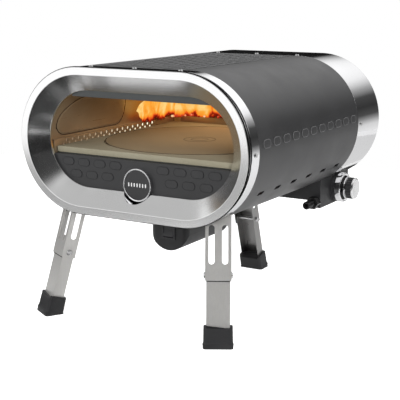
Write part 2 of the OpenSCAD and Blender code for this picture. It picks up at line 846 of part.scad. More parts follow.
module leg_foot(leg) color([0.11, 0.11, 0.12]) difference() {
    intersection() {
        leg_at(leg) foot_block(leg);
        translate([-400, -400, 0]) cube([800, 800, 200]);
    }
    leg_at(leg) lower_solid(leg, fit_gap);
}

// Rubber block that widens towards the floor
module foot_block(leg) {
    top = -pivot_h / cos(leg[3]) + foot_h;
    low = top - foot_h - 14;
    intersection() {
        translate([0, 40, 0]) rotate([90, 0, 0]) linear_extrude(80)
            polygon([[-foot_w_low / 2, low], [foot_w_low / 2, low],
                     [foot_w_top / 2, top], [-foot_w_top / 2, top]]);
        translate([-60, 0, 0]) rotate([90, 0, 90]) linear_extrude(120)
            polygon([[-foot_d_low / 2, low], [foot_d_low / 2, low],
                     [foot_d_top / 2, top], [-foot_d_top / 2, top]]);
        // rounded corners
        translate([0, 0, low]) linear_extrude(top - low) {
            for (sx = [-1, 1], sy = [-1, 1])
                translate([sx * (foot_w_low / 2 - 5), sy * (foot_d_low / 2 - 5)]) circle(r = 5);
            square([foot_w_low - 10, foot_d_low], center = true);
            square([foot_w_low, foot_d_low - 10], center = true);
        }
    }
}

module leg_pin(leg) color([0.82, 0.82, 0.82]) leg_at(leg) {
    half = bracket_w / 2;
    rod_x(pin_r, -half - 1, half + 1);
    for (turn = [0, 180]) rotate([0, 0, turn])
        translate([half, 0, 0]) rotate([0, 90, 0]) cylinder(r1 = 5.5, r2 = 4, h = 2.5);
}

// ---------- fasteners ----------

module collar_screws() color([0.88, 0.88, 0.88]) placed()
    band_places(shell_front - screw_inset, body_r) screw();

module cap_screws() color([0.88, 0.88, 0.88]) placed()
    band_places(shell_rear + cap_screw_inset, body_r) screw();

module back_screws() color([0.80, 0.80, 0.80]) placed()
    back_screw_places() rotate([-90, 0, 0]) screw(head_h = 1.8);

module leg_screws() color([0.80, 0.80, 0.80]) placed()
    all_leg_screw_places() screw(head_h = 1.8);

module motor_screws() color([0.75, 0.75, 0.75]) placed()
    motor_screw_places() screw(head_h = 1.8);

module housing_screws() color([0.70, 0.70, 0.70]) placed() cover_screw_places()
    translate([0, cover_rear - 6, 0]) rotate([-90, 0, 0])
        screw(head_r = 3.2, head_h = 1.6, shank_r = 1.6, shank = 16);

module control_screws() color([0.70, 0.70, 0.70]) placed()
    for (y = control_screw_y) translate([control_screw_x, y, box_under])
        rotate([180, 0, 0]) screw(head_r = 3.5, head_h = 1.8, shank_r = 1.5, shank = 2);

front_bezel();
bezel_seal();
front_collar();
outer_shell();
rear_cap();
back_panel();
inner_chamber();
chamber_back();
mouth_baffle();
insulation();
front_panel();
badge_ring();
badge_face();
deck_stone();
stone_disc();
turntable_plate();
drive_shaft();
shaft_bush();
deck_pan();
gear_motor();
battery_cells();
motor_housing();
housing_cover();
motor_bracket();
switch_frame();
power_switch();
burner_tube();
flame_guard();
gas_pipe();
gas_valve();
valve_spindle();
spindle_collar();
gas_knob();
knob_cap();
knob_bezel();
control_box();
inlet_nut();
inlet_spigot();
igniter();
leg_bracket(left_leg);  // leg_bracket_left
leg_bracket(right_leg);  // leg_bracket_right
leg_bracket(rear_leg);  // leg_bracket_rear
leg_lower(left_leg);  // leg_lower_left
leg_lower(right_leg);  // leg_lower_right
leg_lower(rear_leg);  // leg_lower_rear
leg_foot(left_leg);  // leg_foot_left
leg_foot(right_leg);  // leg_foot_right
leg_foot(rear_leg);  // leg_foot_rear
leg_pin(left_leg);  // leg_pin_left
leg_pin(right_leg);  // leg_pin_right
leg_pin(rear_leg);  // leg_pin_rear
collar_screws();
cap_screws();
back_screws();
leg_screws();
motor_screws();
housing_screws();
control_screws();
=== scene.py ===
import json
import math

import bmesh
import bpy
from mathutils import Matrix, Vector, noise


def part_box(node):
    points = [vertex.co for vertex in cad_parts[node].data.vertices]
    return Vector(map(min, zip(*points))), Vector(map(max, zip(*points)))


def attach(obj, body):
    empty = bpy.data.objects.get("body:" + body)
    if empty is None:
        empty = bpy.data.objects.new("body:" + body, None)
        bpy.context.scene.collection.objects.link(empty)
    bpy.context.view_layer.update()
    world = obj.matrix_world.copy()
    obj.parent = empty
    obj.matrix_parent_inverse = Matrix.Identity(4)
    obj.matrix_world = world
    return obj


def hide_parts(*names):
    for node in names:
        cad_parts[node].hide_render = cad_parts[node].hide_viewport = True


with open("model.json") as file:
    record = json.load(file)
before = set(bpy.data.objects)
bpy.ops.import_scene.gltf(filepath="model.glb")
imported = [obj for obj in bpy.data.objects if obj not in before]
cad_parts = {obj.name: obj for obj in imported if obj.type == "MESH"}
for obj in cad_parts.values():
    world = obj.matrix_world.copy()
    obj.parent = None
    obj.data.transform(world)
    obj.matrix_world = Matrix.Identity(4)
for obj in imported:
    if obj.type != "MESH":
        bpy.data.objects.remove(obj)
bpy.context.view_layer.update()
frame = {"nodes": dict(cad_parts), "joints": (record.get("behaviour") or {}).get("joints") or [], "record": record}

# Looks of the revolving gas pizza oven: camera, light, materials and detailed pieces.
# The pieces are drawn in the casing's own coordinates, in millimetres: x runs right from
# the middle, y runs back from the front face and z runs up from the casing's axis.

NODES = frame["nodes"]
MM = 0.001

# ---------- where things are, from the frame ----------

BEZEL_LOW, BEZEL_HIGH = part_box("front_bezel")
AXIS_Z = (BEZEL_LOW.z + BEZEL_HIGH.z) / 2
FRONT_Y = BEZEL_LOW.y
ORIGIN = Vector((0, FRONT_Y, AXIS_Z))
TO_ROW = Matrix.Translation(ORIGIN) @ Matrix.Scale(MM, 4)


def at(x, y, z):
    """A place in the casing's own coordinates, as a vector in the row frame."""
    return TO_ROW @ Vector((x, y, z))


def extent(node):
    """A node's lowest and highest corner in the casing's coordinates."""
    low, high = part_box(node)
    return (low - ORIGIN) / MM, (high - ORIGIN) / MM


BODY_R = round((BEZEL_HIGH.z - BEZEL_LOW.z) / MM / 2, 1)
HALF = round((BEZEL_HIGH.x - BEZEL_LOW.x) / MM / 2 - BODY_R, 0)
SHEET = 1.5
RING_WIDTH = 12.5
RING_EDGE = 1.9
FLANGE_FRONT, FLANGE_REAR = 5.2, 8.8
LIP_END = round(extent("front_bezel")[1].y, 1)
MOUTH_DEPTH = LIP_END - 4
MOUTH_R = 80
SEAL_END = round(extent("bezel_seal")[1].y, 1)
SHELL_FRONT, SHELL_REAR = (round(v.y, 1) for v in extent("outer_shell"))
COLLAR_END = round(extent("front_collar")[1].y, 1)
CAP_START, CAP_END = (round(v.y, 1) for v in extent("rear_cap"))
CAP_DOUBLE = SHELL_REAR + 30
LINER_FRONT, LINER_REAR = (round(v.y, 1) for v in extent("inner_chamber"))
LINER_R = 88
LINER_T = 1.2
LINER_LOW = round(extent("inner_chamber")[0].z, 1)
BADGE_R = (extent("badge_ring")[1].x - extent("badge_ring")[0].x) / 2
BADGE_Z = (extent("badge_ring")[1].z + extent("badge_ring")[0].z) / 2
BADGE_FACE_Y = extent("badge_face")[0].y
KNOB_LOW, KNOB_HIGH = extent("gas_knob")
KNOB_Y = (KNOB_LOW.y + KNOB_HIGH.y) / 2
KNOB_Z = (KNOB_LOW.z + KNOB_HIGH.z) / 2
DISC_LOW, DISC_HIGH = extent("stone_disc")
DISC_R = (DISC_HIGH.x - DISC_LOW.x) / 2
GUARD_LOW, GUARD_HIGH = extent("flame_guard")

# ---------- mesh helpers ----------


def rounded(corners, steps=5):
    """An outline whose corners (x, y, radius) are rounded with arcs."""
    points = []
    for k, (x, y, radius) in enumerate(corners):
        corner = Vector((x, y))
        if not radius:
            points.append((x, y))
            continue
        before = (Vector(corners[k - 1][:2]) - corner).normalized()
        after = (Vector(corners[(k + 1) % len(corners)][:2]) - corner).normalized()
        half = before.angle(after) / 2
        centre = corner + (before + after).normalized() * radius / math.sin(half)
        start = corner + before * radius / math.tan(half) - centre
        end = corner + after * radius / math.tan(half) - centre
        first = math.atan2(start.y, start.x)
        sweep = (math.atan2(end.y, end.x) - first + math.pi) % (2 * math.pi) - math.pi
        for step in range(steps + 1):
            angle = first + sweep * step / steps
            points.append((centre.x + radius * math.cos(angle), centre.y + radius * math.sin(angle)))
    return points


def stadium(steps=48):
    """Stations round the stadium section: the arc centre's x, and the outward direction."""
    places = []
    for side, first in ((1, -90), (-1, 90)):
        for k in range(steps + 1):
            angle = math.radians(first + 180 * k / steps)
            places.append((side * HALF, math.cos(angle), math.sin(angle)))
    return places


def bridge(bm, rings, around, along=True):
    """Joins rings of vertices; around closes each ring, along joins the last to the first."""
    count = len(rings[0])
    for k in range(len(rings) if along else len(rings) - 1):
        here, there = rings[k], rings[(k + 1) % len(rings)]
        for j in range(count if around else count - 1):
            bm.faces.new((here[j], here[(j + 1) % count], there[(j + 1) % count], there[j]))


def loft(profile, places):
    """Sweeps a closed profile of (radius, depth) points round the stadium."""
    bm = bmesh.new()
    rings = [[bm.verts.new((cx + r * c, y, r * s)) for r, y in profile] for cx, c, s in places]
    bridge(bm, rings, True)
    return bm


def add_tube(bm, path, ups, radius):
    """Adds a closed six-sided tube along a path, given the surface's direction at each point."""
    rings = []
    for k, (here, up) in enumerate(zip(path, ups)):
        side = (path[(k + 1) % len(path)] - path[k - 1]).normalized().cross(up)
        rings.append([bm.verts.new(here + radius * (math.cos(math.radians(60 * j)) * up
                                                    + math.sin(math.radians(60 * j)) * side))
                      for j in range(6)])
    bridge(bm, rings, True)


def lathe(profile, turn, steps=72, wobble=None):
    """Turns a closed profile of (radius, height) points about local Z, then places it.

    wobble, if given, works out a point's radius from its radius, height and angle.
    """
    bm = bmesh.new()
    rings = []
    for k in range(steps):
        angle = 2 * math.pi * k / steps
        ring = []
        for r, h in profile:
            reach = r if wobble is None else wobble(r, h, angle)
            ring.append(bm.verts.new((reach * math.cos(angle), reach * math.sin(angle), h)))
        rings.append(ring)
    bridge(bm, rings, True)
    bmesh.ops.remove_doubles(bm, verts=bm.verts, dist=0.001)
    bmesh.ops.transform(bm, matrix=turn, verts=bm.verts)
    return bm


def along_x(x, y, z):
    """Turns local Z to +X, at a place."""
    return Matrix.Translation((x, y, z)) @ Matrix.Rotation(math.radians(90), 4, "Y")


def along_y(x, y, z):
    """Turns local Z to +Y, at a place."""
    return Matrix.Translation((x, y, z)) @ Matrix.Rotation(math.radians(-90), 4, "X")


def soften(node, width):
    """Rounds a node's hard edges and keeps its flat faces flat."""
    weld = node.modifiers.new("weld", "WELD")
    weld.merge_threshold = 0.02 * MM
    flat = node.modifiers.new("flat", "DECIMATE")
    flat.decimate_type = "DISSOLVE"
    flat.angle_limit = math.radians(0.6)
    if width:
        edge = node.modifiers.new("edge", "BEVEL")
        edge.width = width * MM
        edge.segments = 2
        edge.limit_method = "ANGLE"
        edge.angle_limit = math.radians(28)
        edge.miter_outer = "MITER_ARC"
    node.modifiers.new("shade", "WEIGHTED_NORMAL")


def to_mesh(name, bm, solid=True):
    """A mesh in the row frame, of one drawn in casing coordinates."""
    bmesh.ops.transform(bm, matrix=TO_ROW, verts=bm.verts)
    if solid:
        bmesh.ops.recalc_face_normals(bm, faces=bm.faces)
    mesh = bpy.data.meshes.new(name)
    bm.to_mesh(mesh)
    bm.free()
    return mesh


def put(name, data):
    """Adds an object to the scene."""
    made = bpy.data.objects.new(name, data)
    bpy.context.scene.collection.objects.link(made)
    return made


def piece(name, bm, material, body="casing", replaces=(), sharp=40):
    """Makes a piece of the object and hangs it on its body."""
    mesh = to_mesh(name, bm)
    for face in mesh.polygons:
        face.use_smooth = True
    mesh.set_sharp_from_angle(angle=math.radians(sharp))
    mesh.materials.append(material)
    made = put(name, mesh)
    made.modifiers.new("shade", "WEIGHTED_NORMAL").keep_sharp = True
    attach(made, body)
    if replaces:
        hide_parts(*replaces)
    return made


def cut(target, bm):
    """Cuts a solid, drawn in casing coordinates, out of a piece."""
    cutter = put("cutter", to_mesh("cutter", bm))
    boolean = target.modifiers.new("cut", "BOOLEAN")
    boolean.object = cutter
    boolean.operation = "DIFFERENCE"
    graph = bpy.context.evaluated_depsgraph_get()
    result = bpy.data.meshes.new_from_object(target.evaluated_get(graph))
    target.modifiers.remove(boolean)
    target.data = result
    bpy.data.objects.remove(cutter)


# ---------- materials ----------

# Every finish by its name. A finish that the record has too is named as its slot.
FINISHES = {}


def add_node(tree, kind, **inputs):
    """Adds a node and sets its inputs, named by their labels in small letters."""
    made = tree.nodes.new(kind)
    for key, value in inputs.items():
        made.inputs[key.replace("_", " ").title()].default_value = value
    return made


class Shader:
    """A node material under construction."""

    SOCKETS = {
        "color": "Base Color", "metallic": "Metallic", "rough": "Roughness",
        "specular": "Specular IOR Level", "aniso": "Anisotropic",
    }

    def __init__(self, name, **values):
        self.material = bpy.data.materials.new(name)
        FINISHES[name] = self.material
        self.material.use_nodes = True
        self.tree = self.material.node_tree
        self.main = self.tree.nodes["Principled BSDF"]
        for key, value in values.items():
            self.main.inputs[self.SOCKETS[key]].default_value = (*value, 1) if key == "color" else value

    def node(self, kind, **inputs):
        return add_node(self.tree, kind, **inputs)

    def link(self, source, target):
        self.tree.links.new(source, target)

    def coords(self, stretch=(1, 1, 1)):
        """Places on the object, in metres, multiplied by a stretch."""
        mapping = self.node("ShaderNodeMapping", scale=stretch)
        self.link(self.node("ShaderNodeTexCoord").outputs["Object"], mapping.inputs["Vector"])
        return mapping.outputs["Vector"]

    def noise(self, scale, detail=4, stretch=(1, 1, 1), roughness=0.55):
        """A noise factor over the object."""
        made = self.node("ShaderNodeTexNoise", scale=scale, detail=detail, roughness=roughness)
        self.link(self.coords(stretch), made.inputs["Vector"])
        return made.outputs["Fac"]

    def span(self, value, low, high, start=0.3, end=0.7):
        """Spreads a factor over a range of values."""
        made = self.node("ShaderNodeMapRange", from_min=start, from_max=end, to_min=low, to_max=high)
        self.link(value, made.inputs["Value"])
        return made.outputs["Result"]

    def mix(self, factor, first, second):
        """A colour between two colours, each a colour or a socket."""
        made = self.tree.nodes.new("ShaderNodeMix")
        made.data_type = "RGBA"
        self.link(factor, made.inputs["Factor"])
        for name, value in (("A_Color", first), ("B_Color", second)):
            socket = next(s for s in made.inputs if s.identifier == name)
            if isinstance(value, tuple):
                socket.default_value = (*value, 1)
            else:
                self.link(value, socket)
        return next(s for s in made.outputs if s.identifier == "Result_Color")

    def bump(self, height, strength, distance):
        """Adds a bump on top of any bump that is already there."""
        made = self.node("ShaderNodeBump", strength=strength, distance=distance)
        self.link(height, made.inputs["Height"])
        if self.main.inputs["Normal"].is_linked:
            self.link(self.main.inputs["Normal"].links[0].from_socket, made.inputs["Normal"])
        self.link(made.outputs["Normal"], self.main.inputs["Normal"])

    def paint(self, socket):
        self.link(socket, self.main.inputs["Base Color"])

    def dull(self, socket):
        self.link(socket, self.main.inputs["Roughness"])


def scaled(colour, share):
    """A colour made darker or lighter."""
    return tuple(c * share for c in colour)


def brushed(name, colour, rough, stretch, depth=0.2, shade=0.86, vary=1.0):
    """Brushed sheet metal: streaks run along the axis with the smallest stretch.

    shade darkens the streaks' troughs, and vary is how far the roughness follows them.
    """
    s = Shader(name, metallic=1.0, aniso=0.3)
    streaks = s.noise(1.0, 6, stretch, 0.65)
    smudge = s.noise(12, 3)
    s.paint(s.mix(s.span(streaks, 0, 1), scaled(colour, shade), colour))
    s.dull(s.span(streaks, rough * (1 - 0.15 * vary), rough * (1 + 0.2 * vary)))
    s.bump(streaks, depth, 0.00015)
    s.bump(smudge, 0.03, 0.002)
    return s.material


def polished(name, colour, rough):
    """Bright polished metal with faint smudges and hairlines."""
    s = Shader(name, metallic=1.0)
    smudge = s.noise(16, 4)
    hairs = s.noise(1.0, 3, (900, 30, 900))
    s.paint(s.mix(s.span(smudge, 0, 1), scaled(colour, 0.95), colour))
    s.dull(s.span(smudge, rough * 0.7, rough * 1.5))
    s.bump(hairs, 0.015, 0.0001)
    return s.material


def coated(name, colour, rough, grain=900, depth=0.1, metallic=0.0, specular=0.5):
    """Paint or moulded plastic with a fine texture and slight variation."""
    s = Shader(name, metallic=metallic, specular=specular)
    fine = s.noise(grain, 2)
    broad = s.noise(20, 4)
    s.paint(s.mix(s.span(broad, 0, 1), scaled(colour, 0.88), scaled(colour, 1.1)))
    s.dull(s.span(broad, rough * 0.9, rough * 1.1))
    s.bump(fine, depth, 0.0003)
    return s.material


def stone(name, pale, dark, speck):
    """Fired cordierite: fine grains, pores and broad pale and dark areas."""
    s = Shader(name, rough=0.85, specular=0.25)
    broad = s.noise(7, 4)
    grains = s.noise(520, 3)
    pores = s.node("ShaderNodeTexVoronoi", scale=300)
    s.link(s.coords(), pores.inputs["Vector"])
    body = s.mix(s.span(broad, 0, 1), dark, pale)
    s.paint(s.mix(s.span(grains, 0, 0.4, 0.5, 0.75), body, speck))
    s.bump(grains, 0.2, 0.0005)
    s.bump(pores.outputs["Distance"], 0.1, 0.0004)
    return s.material


def heat_tinted(name):
    """Stainless coloured by heat, in clouds of straw and bronze."""
    s = Shader(name, metallic=0.7)
    streaks = s.noise(1.0, 5, (260, 5, 260), 0.6)
    clouds = s.noise(9, 5)
    straw = (0.40, 0.31, 0.205)
    bronze = (0.31, 0.225, 0.145)
    s.paint(s.mix(s.span(clouds, 0, 1), bronze, straw))
    s.dull(s.span(streaks, 0.26, 0.4))
    s.bump(streaks, 0.12, 0.0002)
    return s.material


def satin(name, colour, rough, stretch):
    """Bead-blasted sheet metal with a faint grain."""
    s = Shader(name, metallic=0.75)
    grain = s.noise(1.0, 4, stretch, 0.6)
    s.paint(s.mix(s.span(grain, 0, 1), scaled(colour, 0.93), colour))
    s.dull(s.span(grain, rough * 0.9, rough * 1.1))
    s.bump(grain, 0.04, 0.0001)
    return s.material


STAINLESS = brushed("brushed_stainless", (0.86, 0.86, 0.86), 0.2, (5, 800, 800), 0.008, 0.985,
                    vary=0.3)
POLISHED = polished("polished_stainless", (0.86, 0.86, 0.87), 0.06)
coated("charcoal_paint", (0.026, 0.026, 0.027), 0.40)
PANEL = coated("dark_panel", (0.022, 0.022, 0.023), 0.5)
HEATED = heat_tinted("heat_tinted_steel")
brushed("grey_steel", (0.11, 0.115, 0.115), 0.42, (8, 500, 500))
stone("cordierite", (0.27, 0.25, 0.185), (0.23, 0.21, 0.15), (0.18, 0.16, 0.115))
TOASTED = stone("toasted_cordierite", (0.25, 0.20, 0.13), (0.21, 0.165, 0.105), (0.16, 0.13, 0.08))
PLASTIC = coated("black_plastic", (0.018, 0.018, 0.019), 0.45, grain=1400, depth=0.15)
coated("black_gloss", (0.022, 0.022, 0.024), 0.3, depth=0.03)
SEAL = coated("seal_rubber", (0.004, 0.004, 0.004), 0.7, grain=700, specular=0.08)
FOOT = coated("foot_rubber", (0.016, 0.016, 0.017), 0.55, grain=1100, depth=0.15)
brushed("brass", (0.74, 0.56, 0.28), 0.3, (400, 400, 400))
DARK_BRASS = coated("dark_brass", (0.012, 0.012, 0.012), 0.22, metallic=0.3, depth=0.03)
satin("leg_steel", (0.66, 0.65, 0.63), 0.36, (500, 500, 9))
# a darker copy of the leg steel, for the rear legs: painted shade for their place under the casing
SHADED_LEG_STEEL = brushed("rear_leg_steel", (0.34, 0.335, 0.33), 0.3, (500, 500, 9), 0.05, 0.93)
# dark stone for the ring marks at the stone's middle and for a painted shadow line in the gap round its rim
DARK_MARK_AND_SHADOW = stone("dark_mark_and_shadow_cordierite", (0.06, 0.045, 0.03), (0.05, 0.038, 0.025), (0.04, 0.03, 0.02))
# dark steel for the line round the liner's raised panel: painted shade
GAP_SHADE_STEEL = coated("gap_shade_steel", (0.030, 0.020, 0.012), 0.5, metallic=0.5)
polished("screw_steel", (0.62, 0.62, 0.62), 0.2)
# pale lines round the shell's dashes: a painted highlight
RIM_HIGHLIGHT = coated("charcoal_paint_highlight", (0.12, 0.12, 0.122), 0.40)
# dark lines round the front panel's dashes: painted shade
PANEL_SHADE_LINE = coated("dark_panel_shade_line", (0.010, 0.010, 0.011), 0.6)
coated("ceramic_wool", (0.80, 0.78, 0.72), 0.95, grain=500, depth=0.5)
coated("ceramic_white", (0.80, 0.78, 0.74), 0.35)
coated("cell_wrap", (0.03, 0.10, 0.16), 0.3)
brushed("motor_steel", (0.55, 0.56, 0.58), 0.38, (300, 300, 300))
brushed("bronze", (0.60, 0.40, 0.20), 0.4, (300, 300, 300))
MARKING = coated("marking_paint", (0.62, 0.62, 0.62), 0.5)

SLOT_OF = {part["node"]: part["material_slot"] for part in frame["record"]["subparts"]}

# ---------- CAD nodes that keep their shape ----------

# Edge rounding in millimetres, and where it isn't the usual one
USUAL_EDGE = 0.4
EDGE_OF = {
    "outer_shell": 0.35, "front_panel": 0.35, "flame_guard": 0, "burner_tube": 0,
    "deck_stone": 1.0, "motor_housing": 1.0, "housing_cover": 1.0, "control_box": 1.2,
    "switch_frame": 0.6, "power_switch": 0.6, "inlet_nut": 0.9, "mouth_baffle": 0.3,
    "insulation": 0, "inner_chamber": 0, "chamber_back": 0, "motor_bracket": 0.3,
}


def dress_nodes():
    """Gives every CAD node the material of its slot, smooth shading and softened edges; the rear legs get a darker
    copy of their steel, as painted shade.
    """
    for name, node in NODES.items():
        node.data.materials.clear()
        slot = SLOT_OF[name]
        shaded = slot == "leg_steel" and "rear" in name
        # the rear legs take the darker copy: painted shade
        node.data.materials.append(SHADED_LEG_STEEL if shaded else FINISHES[slot])
        for face in node.data.polygons:
            face.use_smooth = True
        soften(node, EDGE_OF.get(name, USUAL_EDGE))


dress_nodes()

# ---------- casing trim ----------

RING_INNER = BODY_R - RING_WIDTH
NOTCH_R = BADGE_R + 2.2
TRIM_WALL = 1.2
# Outside of a band where it laps under the shell, and its inside there
LAP_R = BODY_R - SHEET - 0.1
BAND_R = BODY_R - 2 * SHEET
PIPE_HOLE_R = 7


def make_bezel():
    """The bright ring, its funnel and the rolled lip round the mouth."""
    profile = rounded([
        (BODY_R - 3, FLANGE_FRONT, 0), (BODY_R - 3, RING_EDGE, 0), (BODY_R, RING_EDGE, 0.5),
        (BODY_R, 0, 0.9), (RING_INNER, 0, 1.3),
        (MOUTH_R, MOUTH_DEPTH, 2.5), (MOUTH_R, LIP_END, 0.5),
        (MOUTH_R + TRIM_WALL, LIP_END, 0.5), (MOUTH_R + TRIM_WALL, MOUTH_DEPTH + 0.6, 1.2),
        (RING_INNER, SHEET, 0), (BODY_R - 4.5, SHEET, 0.3), (BODY_R - 4.5, FLANGE_REAR, 0),
        (BODY_R - 0.3, FLANGE_REAR, 0.5), (BODY_R - 1.9, FLANGE_FRONT, 0.5),
    ])
    bezel = piece("bezel_trim", loft(profile, stadium(64)), STAINLESS,
                  replaces=["front_bezel"], sharp=35)
    notch = lathe([(0, -2), (NOTCH_R, -2), (NOTCH_R, LIP_END + 2), (0, LIP_END + 2)],
                  along_y(0, 0, BADGE_Z), 96)
    cut(bezel, notch)


def funnel_depth(z):
    """Depth of the funnel's flat lower slope at a height below the mouth."""
    return MOUTH_DEPTH * (RING_INNER + z) / (RING_INNER - MOUTH_R)


def make_notch_sleeve():
    """The round wall of the badge notch, from the funnel's slope back to the lip."""
    bm = bmesh.new()
    reach = math.acos((MOUTH_R + BADGE_Z) / NOTCH_R)
    steps = 48
    rings = []
    for k in range(steps + 1):
        angle = -reach + 2 * reach * k / steps
        inner_z = BADGE_Z - NOTCH_R * math.cos(angle)
        front = min(funnel_depth(inner_z), LIP_END - 0.6)
        ring = []
        for r, y in ((NOTCH_R, front), (NOTCH_R, LIP_END), (NOTCH_R + TRIM_WALL, LIP_END),
                     (NOTCH_R + TRIM_WALL, front + 0.6), (NOTCH_R + TRIM_WALL / 2, front - 0.25)):
            ring.append(bm.verts.new((r * math.sin(angle), y, BADGE_Z - r * math.cos(angle))))
        rings.append(ring)
    bridge(bm, rings, True, False)
    for end in (rings[0], rings[-1]):
        bm.faces.new(end)
    piece("notch_sleeve", bm, POLISHED)


def make_seals():
    """The two black seals, one each side of the bezel's flange."""
    for name, inner, outer, y0, y1 in (("front_seal", -2.9, 1.2, RING_EDGE, FLANGE_FRONT - 0.4),
                                       ("rear_seal", -8.9, -1.6, FLANGE_REAR, SEAL_END)):
        profile = rounded([(BODY_R + inner, y0, 0), (BODY_R + inner, y1, 0),
                           (BODY_R + outer, y1, 0.4), (BODY_R + outer, y0, 0.3)], 3)
        piece(name, loft(profile, stadium()), SEAL, replaces=["bezel_seal"])


def make_collar():
    """The polished front collar and its lap under the painted shell."""
    profile = rounded([
        (BODY_R, SEAL_END, 0.7), (BODY_R, SHELL_FRONT, 0.3), (LAP_R, SHELL_FRONT, 0),
        (LAP_R, COLLAR_END, 0.3), (BAND_R, COLLAR_END, 0.3), (BAND_R, SEAL_END, 0.5),
    ])
    piece("collar_band", loft(profile, stadium(64)), POLISHED,
          replaces=["front_collar"])


def make_cap():
    """The polished rear cap, lapped under the shell and hemmed at the back."""
    skin, hem = BODY_R - SHEET, BODY_R - SHEET - 0.9
    profile = rounded([
        (LAP_R, CAP_START, 0.3), (LAP_R, SHELL_REAR, 0), (BODY_R, SHELL_REAR, 0.3),
        (BODY_R, CAP_END, 1.4), (hem, CAP_END, 0.6), (hem, CAP_END - 3.6, 0.5),
        (skin, CAP_END - 4.4, 0.5), (skin, CAP_DOUBLE, 0), (BAND_R, CAP_DOUBLE, 0.3),
        (BAND_R, CAP_START, 0.3),
    ])
    cap = piece("cap_band", loft(profile, stadium(64)), POLISHED,
                replaces=["rear_cap"])
    pipe_low, pipe_high = extent("gas_pipe")
    pipe_x = (pipe_low.x + pipe_high.x) / 2
    hole = lathe([(0, -30), (PIPE_HOLE_R, -30), (PIPE_HOLE_R, 30), (0, 30)],
                 Matrix.Translation((pipe_x, KNOB_Y, -BODY_R)), 48)
    cut(cap, hole)


make_bezel()
make_notch_sleeve()
make_seals()
make_collar()
make_cap()

# ---------- baking chamber ----------

# Raised panel in the left wall: its corners by depth, distance up the wall and radius
PANEL_CORNERS = ((214, -4, 24), (262, -6, 26), (242, 46, 40), (210, 66, 30), (92, 70, 60), (48, 28, 40),
                 (52, -4, 24))
PANEL_HEIGHT = 1.6
PANEL_EDGE = 2.4


def inside_outline(outline, y, up):
    """Distance from a point to an outline: positive inside it, negative outside."""
    best = 1e9
    within = False
    for k, (ax, ay) in enumerate(outline):
        bx, by = outline[k - 1]
        run = Vector((bx - ax, by - ay))
        share = max(0, min(1, ((y - ax) * run.x + (up - ay) * run.y) / run.length_squared))
        best = min(best, math.hypot(y - ax - share * run.x, up - ay - share * run.y))
        if (ay > up) != (by > up) and y < (bx - ax) * (up - ay) / (by - ay) + ax:
            within = not within
    return best if within else -best


def wall_rise(outline, y, up):
    """How far the wall stands in at a depth and a distance up."""
    share = min(max(inside_outline(outline, y, up) / PANEL_EDGE, 0), 1)
    return PANEL_HEIGHT * share * share * (3 - 2 * share)


def make_liner():
    """The chamber's wall: up the left side, over the top and down the right."""
    low = math.degrees(math.asin(-LINER_LOW / LINER_R))
    places = []
    for side, first, last, steps in ((1, -low, 90, 40), (-1, 90, 180 + low, 90)):
        for k in range(steps + 1):
            places.append((side * HALF, math.radians(first + (last - first) * k / steps)))
    depths = [LINER_FRONT + (LINER_REAR - LINER_FRONT) * k / 150 for k in range(151)]
    bm = bmesh.new()
    inner_r = LINER_R - LINER_T
    outline = rounded(PANEL_CORNERS, 4)
    panel_rear = max(y for y, up in outline)
    panel_low, panel_top = min(up for y, up in outline), max(up for y, up in outline)
    skins = []
    for inside in (True, False):
        rows = []
        for cx, angle in places:
            up = inner_r * (math.pi - angle)
            near = cx < 0 and inside and panel_low < up < panel_top
            row = []
            for y in depths:
                r = inner_r if inside else LINER_R
                if near and y < panel_rear:
                    r -= wall_rise(outline, y, up)
                row.append(bm.verts.new((cx + r * math.cos(angle), y, r * math.sin(angle))))
            rows.append(row)
        bridge(bm, rows, False, False)
        skins.append(rows)
    front = [[rows[0] for rows in skin] for skin in skins]
    rear = [[rows[-1] for rows in skin] for skin in skins]
    for edge in (front, rear, [skin[0] for skin in skins], [skin[-1] for skin in skins]):
        bridge(bm, edge, False, False)
    piece("chamber_liner", bm, HEATED, replaces=["inner_chamber"])
    make_panel_gap_shade(outline, inner_r)


def make_panel_gap_shade(outline, wall_r):
    """A dark line round the raised panel: painted shade in the gap at its edge."""
    bm = bmesh.new()
    angles = [math.pi - up / wall_r for y, up in outline]
    path = [Vector((-HALF + (wall_r - 0.3) * math.cos(angle), y, (wall_r - 0.3) * math.sin(angle)))
            for (y, up), angle in zip(outline, angles)]
    add_tube(bm, path, [Vector((-math.cos(angle), 0, -math.sin(angle))) for angle in angles], 0.7)
    piece("panel_gap_shade", bm, GAP_SHADE_STEEL)


def make_disc():
    """The revolving stone: a rounded rim and a shallow scribed ring at its middle."""
    top = DISC_HIGH.z - DISC_LOW.z
    profile = rounded([
        (0, 3, 0), (12.2, 3, 0), (12.2, 0, 0.3), (DISC_R, 0, 1.0), (DISC_R, top, 1.2),
        (27, top, 0.1), (26.4, top - 0.5, 0.1), (25.8, top, 0.1), (0, top, 0),
    ])
    middle = (DISC_LOW.x + DISC_HIGH.x) / 2, (DISC_LOW.y + DISC_HIGH.y) / 2, DISC_LOW.z
    piece("baking_disc", lathe(profile, Matrix.Translation(middle), 128), TOASTED,
          body="turntable", replaces=["stone_disc"])


def make_disc_lines():
    """Dark lines on the revolving stone: a painted shadow line in the gap at its rim, and the ring marks at its
    middle.
    """
    middle = (DISC_LOW + DISC_HIGH) / 2
    for name, r, thick in (("disc_gap_shadow_line", DISC_R - 0.9, 0.75), ("disc_outer_mark", 28, 0.6),
                           ("disc_inner_mark", 15, 0.6)):
        bm = bmesh.new()
        turns = [k * math.pi / 60 for k in range(120)]
        path = [Vector((middle.x + r * math.cos(turn), middle.y + r * math.sin(turn),
                        DISC_HIGH.z - 0.45 * thick)) for turn in turns]
        add_tube(bm, path, [Vector((0, 0, 1))] * len(path), thick)
        piece(name, bm, DARK_MARK_AND_SHADOW, body="turntable")


make_liner()
make_disc()
make_disc_lines()

# ---------- badge ----------


